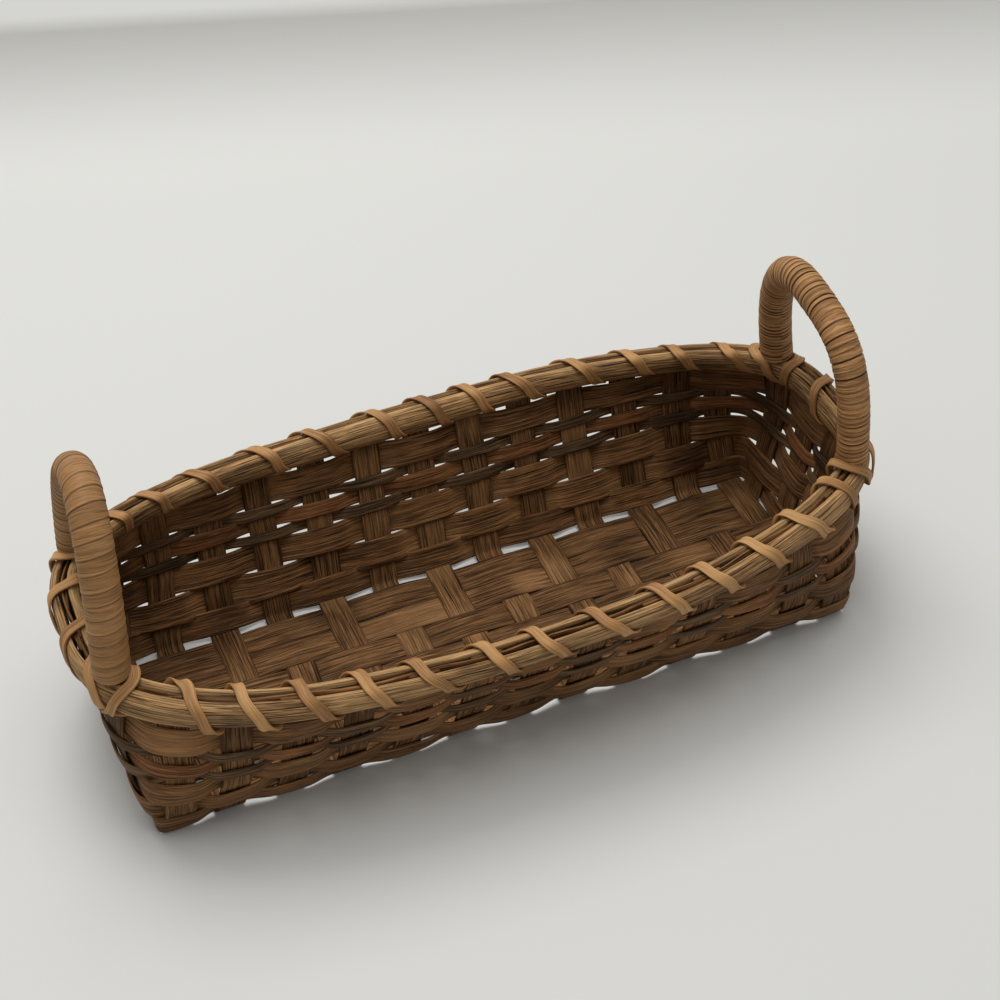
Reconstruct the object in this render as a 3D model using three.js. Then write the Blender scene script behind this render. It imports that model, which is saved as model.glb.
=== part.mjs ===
// A flat-reed bread basket: a long woven tray with flaring sides and two wrapped U handles.
// Millimetres, +Z up. X runs along the basket, Y across it, and the origin is the middle of the
// underside. Crossings are counted anticlockwise from the front left corner.
import * as THREE from "three";

// Reed and clearance
const REED = 1.0; // thickness of every flat reed in the weave
const SEAT = 0.3; // room between two reeds that lie on each other
const STAKE_WIDTH = 12.7;
const STRIP_WIDTH = 14.0;
const END_STAKE_WIDTH = 13.1; // a strip cups a little where it folds up into the wall

// Base
const CROSS_STAKES = 13;
const STAKE_SPACING = 25.4;
const CORNER_PULL = 3.8; // the two outermost cross stakes are pushed inwards by this much
const STRIP_SPACING = 14.6;
const BASE_HALF_WIDTH = 49.5;
const REAR_STRIP_INSET = 11.6; // from the rear fold to the middle of the rear strip
const FOLD_ROOM = 1.2; // from the last cross stake's edge to the fold of the long stakes
const STRIP_UNITS = [0, 0, 1, 2, 3, 3]; // strips with the same number weave as one
const FILLERS = [1, 4]; // strips that end at the base instead of folding up

// Walls
const FIRST_ROW_WIDTH = 8.0;
const WIDE_ROW_WIDTH = 11.4;
const NARROW_ROW_WIDTH = 4.2;
const MIDDLE_ROW_WIDTH = 6.2;
const ROW_GAP = 0.3;
const LASHING_SLOT = 2.0; // open slot under the rim, where the lashing passes through the wall
const BASE_SQUARENESS = 60;
const WALL_BELLY = 0.25;
const CROSS_STAKE_REACH = 0.838; // where the outermost cross stakes meet the rim, in half lengths
const END_STAKE_REACH = [0.45, 0.164, -0.148, -0.472]; // and the end stakes, rear first, in half widths

// Rim
const RIM_HALF_LENGTH = 169.3;
const RIM_HALF_WIDTH = 77.9;
const RIM_SQUARENESS = 2.49;
const RIM_END_RISE = 7.5; // the rim's two ends stand this much higher than its sides
const BAND_HEIGHT = 12.6;
const BAND_THICKNESS = 3.0;
const BAND_EDGE = 1.4; // thickness of a band at its top and bottom edge
const BAND_INSET = 3.0; // from the middle of the wall to a band's flat side
const BAND_FLAT = 2.4; // half the height of the level part of a band's round side
const BAND_STEPS = 96;
const STAKE_TIP_DROP = 1.4; // the stakes and the rim row end this much under the bands' top edge

// Lashing
const LASH_WIDTH = 5.3; // along the rim, where a 4.8 mm reed lies at a slant
const LASH_THICKNESS = 0.9;
const LASH_SPREAD = 1.8; // room between two lashings that pass one gap
const LASH_LIFT = 0.8; // from the bands' top edge to the middle of the lashing
const LASH_EASE = 0.8; // the lashing runs straight this far past the level part of a band
const LASH_SLACK = 0.25; // more room where a straight step of the lashing or a band comes nearer
const LEG_ROOM = 1.2; // from a handle's wrap to the lashing beside it

// Handles
const LEFT_HANDLE_HEIGHT = 64;
const RIGHT_HANDLE_HEIGHT = 61;
const LEFT_HANDLE_SQUARENESS = 2.1; // 2 is an ellipse, and more than that has squarer shoulders
const RIGHT_HANDLE_SQUARENESS = 3.0;
const HANDLE_LEAN = 6; // the bow leans inwards by this much
const LEFT_CORE_RADIUS = 5.7;
const RIGHT_CORE_RADIUS = 5.0;
const STEM_RISE = 0.8; // from the rim's top to where the rod is round
const TANG_WIDTH = 11;
const TANG_BACK = 0.25; // a tang's thin side, from the middle of the wall
const TANG_FRONT = 2.1;
const WRAP_GAP = 0.8; // room between two turns of the wrap, on the inside of the bow
const WRAP_THICKNESS = 1.3;
const WRAP_CLEAR = 0.5; // room between the core and its wrap, which cuts the corners of a circle
const WRAP_TURNS = 24;
const WRAP_STEPS = 12;
const WRAP_START = 1.0; // the wrap starts this far above the rim

// Heights that follow from the sizes above
const LAYER = REED + SEAT; // from one reed's middle to the next one's
const STAKE_LEVEL = LAYER + REED / 2;
const OVER_STAKES = STAKE_LEVEL + REED / 2 + SEAT;
const OVER_STRIPS = OVER_STAKES + LAYER;
const ROW_WIDTHS = [
  FIRST_ROW_WIDTH,
  WIDE_ROW_WIDTH,
  WIDE_ROW_WIDTH,
  NARROW_ROW_WIDTH,
  MIDDLE_ROW_WIDTH,
  NARROW_ROW_WIDTH,
  WIDE_ROW_WIDTH,
];
const rows = [];
let rowFoot = OVER_STAKES;
for (const width of ROW_WIDTHS) {
  rows.push({ low: rowFoot, high: rowFoot + width });
  rowFoot += width + ROW_GAP;
}
const WALL_ROWS_TOP = rows[rows.length - 1].high;
const RIM_LOW = WALL_ROWS_TOP + LASHING_SLOT;
const RIM_TOP = RIM_LOW + BAND_HEIGHT;
const TIP_LEVEL = RIM_TOP - STAKE_TIP_DROP;
const RIM_ROW_WIDTH = TIP_LEVEL - RIM_LOW - SEAT;
rows.push({ low: RIM_LOW + SEAT, high: TIP_LEVEL });

// Colours from the photo
const finish = (color, roughness) => new THREE.MeshStandardMaterial({ color, roughness, metalness: 0 });
const STAKE_FINISH = finish(0x5a4128, 0.62);
const WEAVER_FINISH = finish(0x7a5833, 0.58);
const DARK_FINISH = finish(0x4a4033, 0.65);
const RED_FINISH = finish(0x7d4e2e, 0.58);
const BAND_FINISH = finish(0x8d6a42, 0.55);
const LASH_FINISH = finish(0xb9824a, 0.5);
const CORE_FINISH = finish(0x6a4a2c, 0.65);
const WRAP_FINISH = finish(0xad8350, 0.48);

const basket = new THREE.Group();

function addPiece(name, geometry, material) {
  const mesh = new THREE.Mesh(geometry, material);
  mesh.name = name;
  basket.add(mesh);
}

// The wall's middle surface. Its plan is a superellipse that grows and softens with the height, and
// level is a height over the middle of a long side: the same level lies higher towards the ends.
const OUTER_STAKE_X = ((CROSS_STAKES - 1) / 2) * STAKE_SPACING - CORNER_PULL;
const BASE_HALF_LENGTH = OUTER_STAKE_X + STAKE_WIDTH / 2 + FOLD_ROOM;

function planAt(level) {
  const share = (level - STAKE_LEVEL) / (RIM_TOP - STAKE_LEVEL);
  const spread = share * (1 + WALL_BELLY) - WALL_BELLY * share * share;
  const softness = THREE.MathUtils.lerp(1 / BASE_SQUARENESS, 1 / RIM_SQUARENESS, Math.max(share, 0));
  return {
    spread,
    a: THREE.MathUtils.lerp(BASE_HALF_LENGTH, RIM_HALF_LENGTH, spread),
    b: THREE.MathUtils.lerp(BASE_HALF_WIDTH, RIM_HALF_WIDTH, spread),
    n: 1 / softness,
  };
}

function heightAt(level, x) {
  const rise = (RIM_END_RISE / (RIM_TOP - STAKE_LEVEL)) * (x / RIM_HALF_LENGTH) ** 2;
  return STAKE_LEVEL + (level - STAKE_LEVEL) * (1 + rise);
}

const otherSide = (share, n) => (1 - Math.abs(share) ** n) ** (1 / n);

function outwardAt(x, y, plan) {
  const gx = (Math.sign(x) * Math.abs(x / plan.a) ** (plan.n - 1)) / plan.a;
  const gy = (Math.sign(y) * Math.abs(y / plan.b) ** (plan.n - 1)) / plan.b;
  return new THREE.Vector3(gx, gy, 0).normalize();
}

// A crossing is one stake where it stands in the wall.
function wallFrame(crossing, level) {
  const plan = planAt(level);
  const along = THREE.MathUtils.lerp(crossing.foot, crossing.top, plan.spread);
  const middle = new THREE.Vector3();
  if (crossing.onEnd) middle.set(crossing.side * plan.a * otherSide(along / plan.b, plan.n), along, 0);
  else middle.set(along, crossing.side * plan.b * otherSide(along / plan.a, plan.n), 0);
  const out = outwardAt(middle.x, middle.y, plan);
  middle.z = heightAt(level, middle.x);
  return { middle, out, along: new THREE.Vector3(-out.y, out.x, 0) };
}

// A point beside a crossing: sideways along the wall, and outwards from its middle surface.
function wallPoint(crossing, level, sideways, outwards) {
  const frame = wallFrame(crossing, level);
  return frame.middle.addScaledVector(frame.along, sideways).addScaledVector(frame.out, outwards);
}

const stakeX = [];
for (let k = 0; k < CROSS_STAKES; k++) {
  const even = (k - (CROSS_STAKES - 1) / 2) * STAKE_SPACING;
  stakeX.push(THREE.MathUtils.clamp(even, -OUTER_STAKE_X, OUTER_STAKE_X));
}
const stripY = STRIP_UNITS.map((unit, j) => BASE_HALF_WIDTH - REAR_STRIP_INSET - j * STRIP_SPACING);
const longStrips = stripY.map((y, j) => j).filter((j) => !FILLERS.includes(j));

function crossStakeCrossing(k, side) {
  const top = (stakeX[k] / OUTER_STAKE_X) * CROSS_STAKE_REACH * RIM_HALF_LENGTH;
  return { onEnd: false, side, foot: stakeX[k], top, width: STAKE_WIDTH };
}

function longStakeCrossing(order, side) {
  const foot = stripY[longStrips[order]];
  const top = END_STAKE_REACH[order] * RIM_HALF_WIDTH;
  return { onEnd: true, side, foot, top, width: END_STAKE_WIDTH, order };
}

const crossings = [];
for (let k = 0; k < CROSS_STAKES; k++) crossings.push(crossStakeCrossing(k, -1));
for (let e = longStrips.length - 1; e >= 0; e--) crossings.push(longStakeCrossing(e, 1));
for (let k = CROSS_STAKES - 1; k >= 0; k--) crossings.push(crossStakeCrossing(k, 1));
for (let e = 0; e < longStrips.length; e++) crossings.push(longStakeCrossing(e, -1));

// A solid from rings of corner points. Each ring runs anticlockwise seen from where the rings go.
// A bent face is split so that it bulges away from the basket's middle, as its neighbour's is.
function solidFromRings(rings, closed) {
  const sides = rings[0].length;
  const points = rings.flat();
  const faces = [];
  const reach = (p, q) => (points[p].x + points[q].x) ** 2 + (points[p].y + points[q].y) ** 2;
  const last = closed ? rings.length : rings.length - 1;
  for (let r = 0; r < last; r++) {
    const next = (r + 1) % rings.length;
    for (let s = 0; s < sides; s++) {
      const a = r * sides + s;
      const b = r * sides + ((s + 1) % sides);
      const c = next * sides + ((s + 1) % sides);
      const d = next * sides + s;
      if (reach(a, c) > reach(b, d) + 1e-6) faces.push(a, b, c, a, c, d);
      else faces.push(a, b, d, b, c, d);
    }
  }
  if (!closed) {
    const end = (rings.length - 1) * sides;
    for (let s = 1; s < sides - 1; s++) {
      faces.push(0, s + 1, s);
      faces.push(end, end + s, end + s + 1);
    }
  }
  const geometry = new THREE.BufferGeometry().setFromPoints(points);
  geometry.setIndex(faces);
  geometry.computeVertexNormals();
  return geometry;
}

// A flat reed along points. It folds at each point along a line across it, and width runs along
// that line.
function reedSolid(points, folds, width, thickness) {
  const facings = [];
  for (let i = 0; i < points.length - 1; i++) {
    const run = points[i + 1].clone().sub(points[i]);
    facings.push(folds[i].clone().add(folds[i + 1]).cross(run).normalize());
  }
  const rings = points.map((point, i) => {
    const before = facings[Math.max(i - 1, 0)];
    const after = facings[Math.min(i, facings.length - 1)];
    const mitre = before.clone().add(after).multiplyScalar(thickness / 2 / (1 + before.dot(after)));
    const across = folds[i].clone().multiplyScalar(width / 2);
    return [
      point.clone().add(mitre).sub(across),
      point.clone().add(mitre).add(across),
      point.clone().sub(mitre).add(across),
      point.clone().sub(mitre).sub(across),
    ];
  });
  return { geometry: solidFromRings(rings, false), rings };
}

// Stakes. A ring in the wall has its outer corners first.
const stakeLevels = [OVER_STRIPS];
for (let r = 1; r < rows.length - 1; r++) stakeLevels.push(rows[r].low - ROW_GAP / 2);
stakeLevels.push(WALL_ROWS_TOP, RIM_LOW);

function wallRings(crossing, topLevel) {
  const half = crossing.width / 2;
  const levels = stakeLevels.filter((level) => level < topLevel);
  return [...levels, topLevel].map((level) => [
    wallPoint(crossing, level, -half, REED / 2),
    wallPoint(crossing, level, half, REED / 2),
    wallPoint(crossing, level, half, -REED / 2),
    wallPoint(crossing, level, -half, -REED / 2),
  ]);
}

// The sharp fold between the base and the wall, at the height of the reed in the base.
function foldRing(crossing, height) {
  const frame = wallFrame(crossing, height);
  const above = wallFrame(crossing, OVER_STRIPS);
  const lean = above.middle.clone().sub(frame.middle);
  const slope = Math.hypot(lean.x, lean.y) / lean.z;
  const out = new THREE.Vector3(crossing.onEnd ? crossing.side : 0, crossing.onEnd ? 0 : crossing.side, 0);
  const along = new THREE.Vector3(-out.y, out.x, 0);
  const corner = (sideways, face) =>
    new THREE.Vector3(frame.middle.x, frame.middle.y, height - (face * REED) / 2)
      .addScaledVector(along, (sideways * crossing.width) / 2)
      .addScaledVector(out, ((face * REED) / 2) * (1 - slope));
  return [corner(-1, 1), corner(1, 1), corner(1, -1), corner(-1, -1)];
}

// From the tip of one end down, under the base and up to the other tip.
function stakeSolid(first, firstHeight, baseRings, second, secondHeight, firstTop, secondTop) {
  const down = [...wallRings(first, firstTop).reverse(), foldRing(first, firstHeight)];
  const up = [foldRing(second, secondHeight), ...wallRings(second, secondTop)];
  const turned = down.map(([a, b, c, d]) => [b, a, d, c]);
  return solidFromRings([...turned, ...baseRings, ...up], false);
}

const STUB_LEVEL = RIM_LOW - SEAT; // a stake under a handle's tang ends here

for (let k = 0; k < CROSS_STAKES; k++) {
  const name = "cross_stake_" + String(k + 1).padStart(2, "0");
  const front = crossStakeCrossing(k, -1);
  const rear = crossStakeCrossing(k, 1);
  addPiece(name, stakeSolid(rear, STAKE_LEVEL, [], front, STAKE_LEVEL, TIP_LEVEL, TIP_LEVEL), STAKE_FINISH);
}

// A strip passes over or under each cross stake, and keeps level over its width.
const stripLevel = (j, k) => STAKE_LEVEL + ((k + STRIP_UNITS[j]) % 2 === 0 ? -LAYER : LAYER);

function stripRings(j) {
  const rings = [];
  const ring = (x, z) => {
    const low = stripY[j] - STRIP_WIDTH / 2;
    const high = stripY[j] + STRIP_WIDTH / 2;
    rings.push([
      new THREE.Vector3(x, low, z - REED / 2),
      new THREE.Vector3(x, high, z - REED / 2),
      new THREE.Vector3(x, high, z + REED / 2),
      new THREE.Vector3(x, low, z + REED / 2),
    ]);
  };
  for (let k = 0; k < CROSS_STAKES; k++) {
    ring(stakeX[k] - STAKE_WIDTH / 2, stripLevel(j, k));
    ring(stakeX[k] + STAKE_WIDTH / 2, stripLevel(j, k));
  }
  return rings;
}

longStrips.forEach((j, order) => {
  const left = longStakeCrossing(order, -1);
  const right = longStakeCrossing(order, 1);
  const carriesHandle = order === 0 || order === longStrips.length - 1;
  const top = carriesHandle ? STUB_LEVEL : TIP_LEVEL;
  const leftHeight = stripLevel(j, 0);
  const rightHeight = stripLevel(j, CROSS_STAKES - 1);
  const solid = stakeSolid(left, leftHeight, stripRings(j), right, rightHeight, top, top);
  addPiece("long_stake_" + (order + 1), solid, STAKE_FINISH);
});

FILLERS.forEach((j, order) => {
  addPiece("base_filler_" + (order + 1), solidFromRings(stripRings(j), false), STAKE_FINISH);
});

// Weavers. Each row passes the stakes in turn outside and inside, and the next row the other way.
// The first one rests on the cross stakes along the sides, and on the folded strips at the ends.
const PAST_EDGE = REED / 2 + SEAT;

function weaverPlan(row, edge) {
  const points = [];
  crossings.forEach((crossing, j) => {
    const level = Math.max(rows[row][edge], crossing.onEnd ? OVER_STRIPS : OVER_STAKES);
    const outwards = (j + row) % 2 === 0 ? LAYER : -LAYER;
    const half = crossing.width / 2 + PAST_EDGE;
    points.push(wallPoint(crossing, level, -half, outwards));
    points.push(wallPoint(crossing, level, half, outwards));
  });
  return points;
}

// Both faces of a reed that turns in plan, mitred at each corner.
function mitredFaces(points) {
  const count = points.length;
  const sideOf = (from, to) => {
    const run = points[to].clone().sub(points[from]).setZ(0).normalize();
    return new THREE.Vector3(run.y, -run.x, 0);
  };
  return points.map((point, i) => {
    const before = sideOf((i + count - 1) % count, i);
    const after = sideOf(i, (i + 1) % count);
    const shift = before.clone().add(after).multiplyScalar(REED / 2 / (1 + before.dot(after)));
    return { outer: point.clone().add(shift), inner: point.clone().sub(shift) };
  });
}

ROW_WIDTHS.concat(RIM_ROW_WIDTH).forEach((width, r) => {
  const low = mitredFaces(weaverPlan(r, "low"));
  const high = mitredFaces(weaverPlan(r, "high"));
  const rings = low.map((faces, i) => [faces.outer, faces.inner, high[i].inner, high[i].outer]);
  const name = r === rows.length - 1 ? "rim_row" : "weaver_row_" + (r + 1);
  const material = { [NARROW_ROW_WIDTH]: DARK_FINISH, [MIDDLE_ROW_WIDTH]: RED_FINISH }[width];
  addPiece(name, solidFromRings(rings, true), material ?? WEAVER_FINISH);
});

// Rim curve. Its parameter is spaced by length along the rim's top, and turn runs from 0 to 1.
const CURVE_SAMPLES = 2880;

function curvePoint(angle, level, outwards) {
  const plan = planAt(level);
  const power = 2 / plan.n;
  const c = Math.cos(angle);
  const s = Math.sin(angle);
  const x = plan.a * Math.sign(c) * Math.abs(c) ** power;
  const y = plan.b * Math.sign(s) * Math.abs(s) ** power;
  const out = outwardAt(x, y, plan);
  return { point: new THREE.Vector3(x, y, heightAt(level, x)).addScaledVector(out, outwards), out };
}

const curveLengths = [0];
for (let i = 1; i <= CURVE_SAMPLES; i++) {
  const from = curvePoint((2 * Math.PI * (i - 1)) / CURVE_SAMPLES, RIM_TOP, 0).point;
  const to = curvePoint((2 * Math.PI * i) / CURVE_SAMPLES, RIM_TOP, 0).point;
  curveLengths.push(curveLengths[i - 1] + from.distanceTo(to));
}
const RIM_LENGTH = curveLengths[CURVE_SAMPLES];

function angleAtLength(length) {
  const wrapped = ((length % RIM_LENGTH) + RIM_LENGTH) % RIM_LENGTH;
  let low = 0;
  let high = CURVE_SAMPLES;
  while (high - low > 1) {
    const middle = (low + high) >> 1;
    if (curveLengths[middle] > wrapped) high = middle;
    else low = middle;
  }
  const share = (wrapped - curveLengths[low]) / (curveLengths[high] - curveLengths[low]);
  return (2 * Math.PI * (low + share)) / CURVE_SAMPLES;
}

// The length along the rim at which the curve of a level passes closest to a point.
function lengthNear(point, level) {
  let best = 0;
  let least = Infinity;
  for (let i = 0; i < CURVE_SAMPLES; i++) {
    const distance = curvePoint((2 * Math.PI * i) / CURVE_SAMPLES, level, 0).point.distanceTo(point);
    if (distance < least) {
      least = distance;
      best = curveLengths[i];
    }
  }
  return best;
}

// Rim bands: flat oval reed, its flat side to the wall.
const bandMiddle = (RIM_LOW + RIM_TOP) / 2;
const bandSection = [
  [BAND_INSET, RIM_LOW],
  [BAND_INSET, RIM_TOP],
  [BAND_INSET + BAND_EDGE, RIM_TOP],
  [BAND_INSET + BAND_THICKNESS, bandMiddle + BAND_FLAT],
  [BAND_INSET + BAND_THICKNESS, bandMiddle - BAND_FLAT],
  [BAND_INSET + BAND_EDGE, RIM_LOW],
];

for (const [name, side] of [["outer_rim_band", 1], ["inner_rim_band", -1]]) {
  const rings = [];
  for (let i = 0; i < BAND_STEPS; i++) {
    const angle = angleAtLength((RIM_LENGTH * i) / BAND_STEPS);
    const ring = bandSection.map(([outwards, level]) => curvePoint(angle, level, side * outwards).point);
    rings.push(side > 0 ? ring : ring.reverse());
  }
  addPiece(name, solidFromRings(rings, true), BAND_FINISH);
}

// Lashing: one loop round both bands for each gap between stakes. It passes through the wall in the
// slot under the rim, climbs inside, crosses the top and goes down outside to the next gap.
const SLOT_LEVEL = (WALL_ROWS_TOP + RIM_LOW) / 2;
const LASH_ROOM = SEAT + LASH_THICKNESS / 2;
const BELLY = BAND_INSET + BAND_THICKNESS + LASH_ROOM;
const SHOULDER = BAND_INSET + BAND_EDGE + LASH_ROOM / Math.SQRT2;
const BELLY_REACH = BAND_FLAT + LASH_EASE;
const CROSS_FROM = 0.42; // the shares of a loop between which the lashing crosses the top
const CROSS_TO = 0.62;
// Each stop of a loop: how far it lies towards the next gap, its place outwards and its level.
const loopStops = (inside, outside) => [
  [0, -SHOULDER - LASH_SLACK, SLOT_LEVEL],
  [0.1, -inside - LASH_SLACK, bandMiddle - BELLY_REACH],
  [0.28, -inside - LASH_SLACK, bandMiddle + BELLY_REACH],
  [CROSS_FROM, -SHOULDER - LASH_SLACK, RIM_TOP + LASH_LIFT],
  [CROSS_TO, SHOULDER, RIM_TOP + LASH_LIFT],
  [0.78, outside, bandMiddle + BELLY_REACH],
  [0.93, outside, bandMiddle - BELLY_REACH],
  [1, SHOULDER, SLOT_LEVEL],
];

function gapLength(j) {
  const before = crossings[j];
  const after = crossings[(j + 1) % crossings.length];
  const from = wallPoint(before, SLOT_LEVEL, before.width / 2, 0);
  const to = wallPoint(after, SLOT_LEVEL, -after.width / 2, 0);
  return lengthNear(from.add(to).multiplyScalar(0.5), SLOT_LEVEL);
}
const gapLengths = crossings.map((crossing, j) => gapLength(j));
const legs = crossings
  .map((crossing, j) => ({ ...crossing, j }))
  .filter((crossing) => crossing.onEnd && (crossing.order === 0 || crossing.order === longStrips.length - 1))
  .map((leg) => ({ ...leg, length: lengthNear(wallPoint(leg, RIM_TOP, 0, 0), RIM_TOP) }));

// Beside a leg the lashing crosses the top clear of the handle, and a tie crosses it the other way.
// The two share the wider of the gaps beside the leg: the gap before a left leg, after a right one.
const coreRadius = (side) => (side < 0 ? LEFT_CORE_RADIUS : RIGHT_CORE_RADIUS);
const legClear = (side) => coreRadius(side) + WRAP_CLEAR + WRAP_THICKNESS + LEG_ROOM + LASH_WIDTH / 2;
const PAIR_SHIFT = (LASH_WIDTH + LASH_SPREAD) / 2;
const ahead = (from, to) => from + ((((to - from) % RIM_LENGTH) + RIM_LENGTH) % RIM_LENGTH);

const passShift = new Map(); // how far the lashing is moved in a shared gap
for (const leg of legs) {
  const shared = leg.side < 0 ? (leg.j + crossings.length - 1) % crossings.length : leg.j;
  passShift.set(shared, leg.side < 0 ? -PAIR_SHIFT : PAIR_SHIFT);
}

function lashLoop(points, folds, stops, start, end, topShift) {
  for (const [share, outwards, level] of stops) {
    let length = THREE.MathUtils.lerp(start, end, share);
    if (topShift !== undefined) {
      if (share < CROSS_FROM) length = THREE.MathUtils.lerp(start, topShift, share / CROSS_FROM);
      else if (share <= CROSS_TO) length = topShift;
      else length = THREE.MathUtils.lerp(topShift, end, (share - CROSS_TO) / (1 - CROSS_TO));
    }
    const { point, out } = curvePoint(angleAtLength(length), level, outwards);
    points.push(point);
    folds.push(new THREE.Vector3(out.y, -out.x, 0));
  }
}

function lashingSolid(firstGap, loops) {
  const points = [];
  const folds = [];
  for (let i = 0; i < loops; i++) {
    const j = (firstGap + i) % crossings.length;
    const next = (j + 1) % crossings.length;
    const start = gapLengths[j] + (passShift.get(j) ?? 0);
    const end = ahead(start, gapLengths[next] + (passShift.get(next) ?? 0));
    const leg = legs.find((one) => one.j === next);
    const topShift = leg && ahead(start, leg.length) + leg.side * legClear(leg.side);
    lashLoop(points, folds, loopStops(BELLY, BELLY), start, end, topShift);
  }
  return reedSolid(points, folds, LASH_WIDTH, LASH_THICKNESS);
}

// The least room between two stretches of a wound reed, at least half a loop apart.
function leastGap(name, rings, perLoop) {
  const edges = [];
  for (let i = 0; i < rings.length - 1; i++) {
    rings[i].forEach((corner, side) => edges.push({ i, line: new THREE.Line3(corner, rings[i + 1][side]) }));
  }
  const closest = new THREE.Vector3();
  let least = Infinity;
  rings.forEach((ring, i) => {
    for (const edge of edges) {
      if (Math.abs(edge.i - i) < perLoop / 2) continue;
      for (const corner of ring) {
        edge.line.closestPointToPoint(corner, true, closest);
        least = Math.min(least, closest.distanceTo(corner));
      }
    }
  });
  console.log(name + " least gap to itself " + least.toFixed(2) + " mm");
}

const HALF_LOOPS = crossings.length / 2;
const STOPS_PER_LOOP = loopStops(BELLY, BELLY).length;
const leftMiddle = crossings.length - longStrips.length / 2 - 1;
const rightMiddle = (leftMiddle + HALF_LOOPS) % crossings.length;
for (const [name, gap] of [["front_lashing", leftMiddle], ["rear_lashing", rightMiddle]]) {
  const lashing = lashingSolid(gap, HALF_LOOPS);
  leastGap(name, lashing.rings, STOPS_PER_LOOP);
  addPiece(name, lashing.geometry, LASH_FINISH);
}

// Handle ties: a short reed round the rim, whose two ends meet inside the wall. It lies over the
// lashing on the face where the two cross.
const TIE_BELLY = BELLY + LASH_THICKNESS + 3 * SEAT;
for (const leg of legs) {
  const isLeft = leg.side < 0;
  const shared = isLeft ? (leg.j + crossings.length - 1) % crossings.length : leg.j;
  const gap = gapLengths[shared];
  const sharedGap = isLeft ? leg.length - (ahead(gap, leg.length) - gap) : ahead(leg.length, gap);
  const pass = sharedGap - leg.side * PAIR_SHIFT;
  const top = leg.length - leg.side * legClear(leg.side);
  const points = [];
  const folds = [];
  const stops = loopStops(isLeft ? BELLY : TIE_BELLY, isLeft ? TIE_BELLY : BELLY + LASH_SLACK);
  stops.unshift([0, -SEAT, SLOT_LEVEL]);
  stops.push([1, SEAT, SLOT_LEVEL]);
  lashLoop(points, folds, stops, pass, pass, top);
  const tie = reedSolid(points, folds, LASH_WIDTH, LASH_THICKNESS);
  const place = (isLeft ? "left_" : "right_") + (leg.order === 0 ? "rear" : "front");
  addPiece(place + "_handle_tie", tie.geometry, LASH_FINISH);
}

// Handles: a bent rod whose flattened tangs stand between the bands, on the stakes cut short there.
const CORE_SIDES = 8;
const CORE_RINGS = 36;
const BOW_SAMPLES = 720;

// A bow's middle line is half a superellipse over the two feet. A place on it is found by how far the
// line has turned there, and at() finds that turn by the length from the rear foot.
function bowPath(side, height, squareness) {
  const [rear, front] = [0, longStrips.length - 1].map((order) =>
    wallPoint(longStakeCrossing(order, side), RIM_TOP, 0, 0),
  );
  const halfSpan = rear.distanceTo(front) / 2;
  const foot = rear.clone().add(front).multiplyScalar(0.5);
  const across = rear.clone().sub(front).normalize();
  const rise = Math.max(rear.z, front.z) - foot.z;
  const up = new THREE.Vector3(-side * HANDLE_LEAN, 0, height).normalize();
  up.addScaledVector(across, -up.dot(across)).normalize();
  const slant = 1 / (squareness - 1);
  const bowPoint = (bent) => {
    const c = Math.cos(bent);
    const x = Math.pow(halfSpan * Math.abs(c), slant);
    const y = Math.pow(height * Math.max(Math.sin(bent), 0), slant);
    const size = Math.pow(Math.pow(x, squareness) + Math.pow(y, squareness), 1 / squareness);
    return new THREE.Vector2((Math.sign(c) * halfSpan * x) / size, rise + (height * y) / size);
  };
  const samples = [bowPoint(0)];
  const lengths = [0];
  for (let i = 1; i <= BOW_SAMPLES; i++) {
    samples.push(bowPoint((Math.PI * i) / BOW_SAMPLES));
    lengths.push(lengths[i - 1] + samples[i].distanceTo(samples[i - 1]));
  }
  const length = lengths[BOW_SAMPLES];
  // Even steps of length and of turning together, so that the legs and the shoulders both get some.
  const stepLength = (share) => lengths.find((one, i) => one / length + i / BOW_SAMPLES >= 2 * share);
  const at = (s) => {
    const i = Math.max(1, lengths.findIndex((one) => one >= Math.min(s, length)));
    const share = (s - lengths[i - 1]) / (lengths[i] - lengths[i - 1]);
    const bent = (Math.PI * (i - 1 + share)) / BOW_SAMPLES;
    const place = samples[i - 1].clone().lerp(samples[i], share);
    return {
      point: foot.clone().addScaledVector(across, place.x).addScaledVector(up, place.y),
      inward: across.clone().multiplyScalar(-Math.cos(bent)).addScaledVector(up, -Math.sin(bent)),
      run: up.clone().multiplyScalar(Math.cos(bent)).addScaledVector(across, -Math.sin(bent)),
      bent,
    };
  };
  const normal = across.clone().cross(up);
  return { at, length, stepLength, normal, coreRadius: coreRadius(side) };
}

// A tang's corners at one level. Its turn round the rod is the one that twists the rod least.
function tangRing(side, order, level, turning) {
  const crossing = longStakeCrossing(order, side);
  const j = crossings.findIndex((one) => one.onEnd && one.side === side && one.order === order);
  const free = (j + rows.length) % 2 === 0 ? 1 : -1; // the face that the rim row leaves free
  const faces = [-free * TANG_BACK, free * TANG_FRONT];
  const { out, along } = wallFrame(crossing, level);
  const upright = order === 0 ? -1 : 1;
  const offset = Math.atan2(upright * turning.inward.dot(out), turning.inward.dot(along));
  const shift = Math.round(offset / (2 * Math.PI / CORE_SIDES));
  const ring = [];
  for (let s = 0; s < CORE_SIDES; s++) {
    const angle = (2 * Math.PI * (s + shift + 0.5)) / CORE_SIDES;
    const c = Math.cos(angle);
    const sideways = (Math.sign(c) * (Math.abs(c) > 0.7 ? TANG_WIDTH : TANG_WIDTH / 3)) / 2;
    const outwards = Math.sin(angle) * upright > 0 ? Math.max(...faces) : Math.min(...faces);
    ring.push(wallPoint(crossing, level, sideways, outwards));
  }
  return ring;
}

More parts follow.
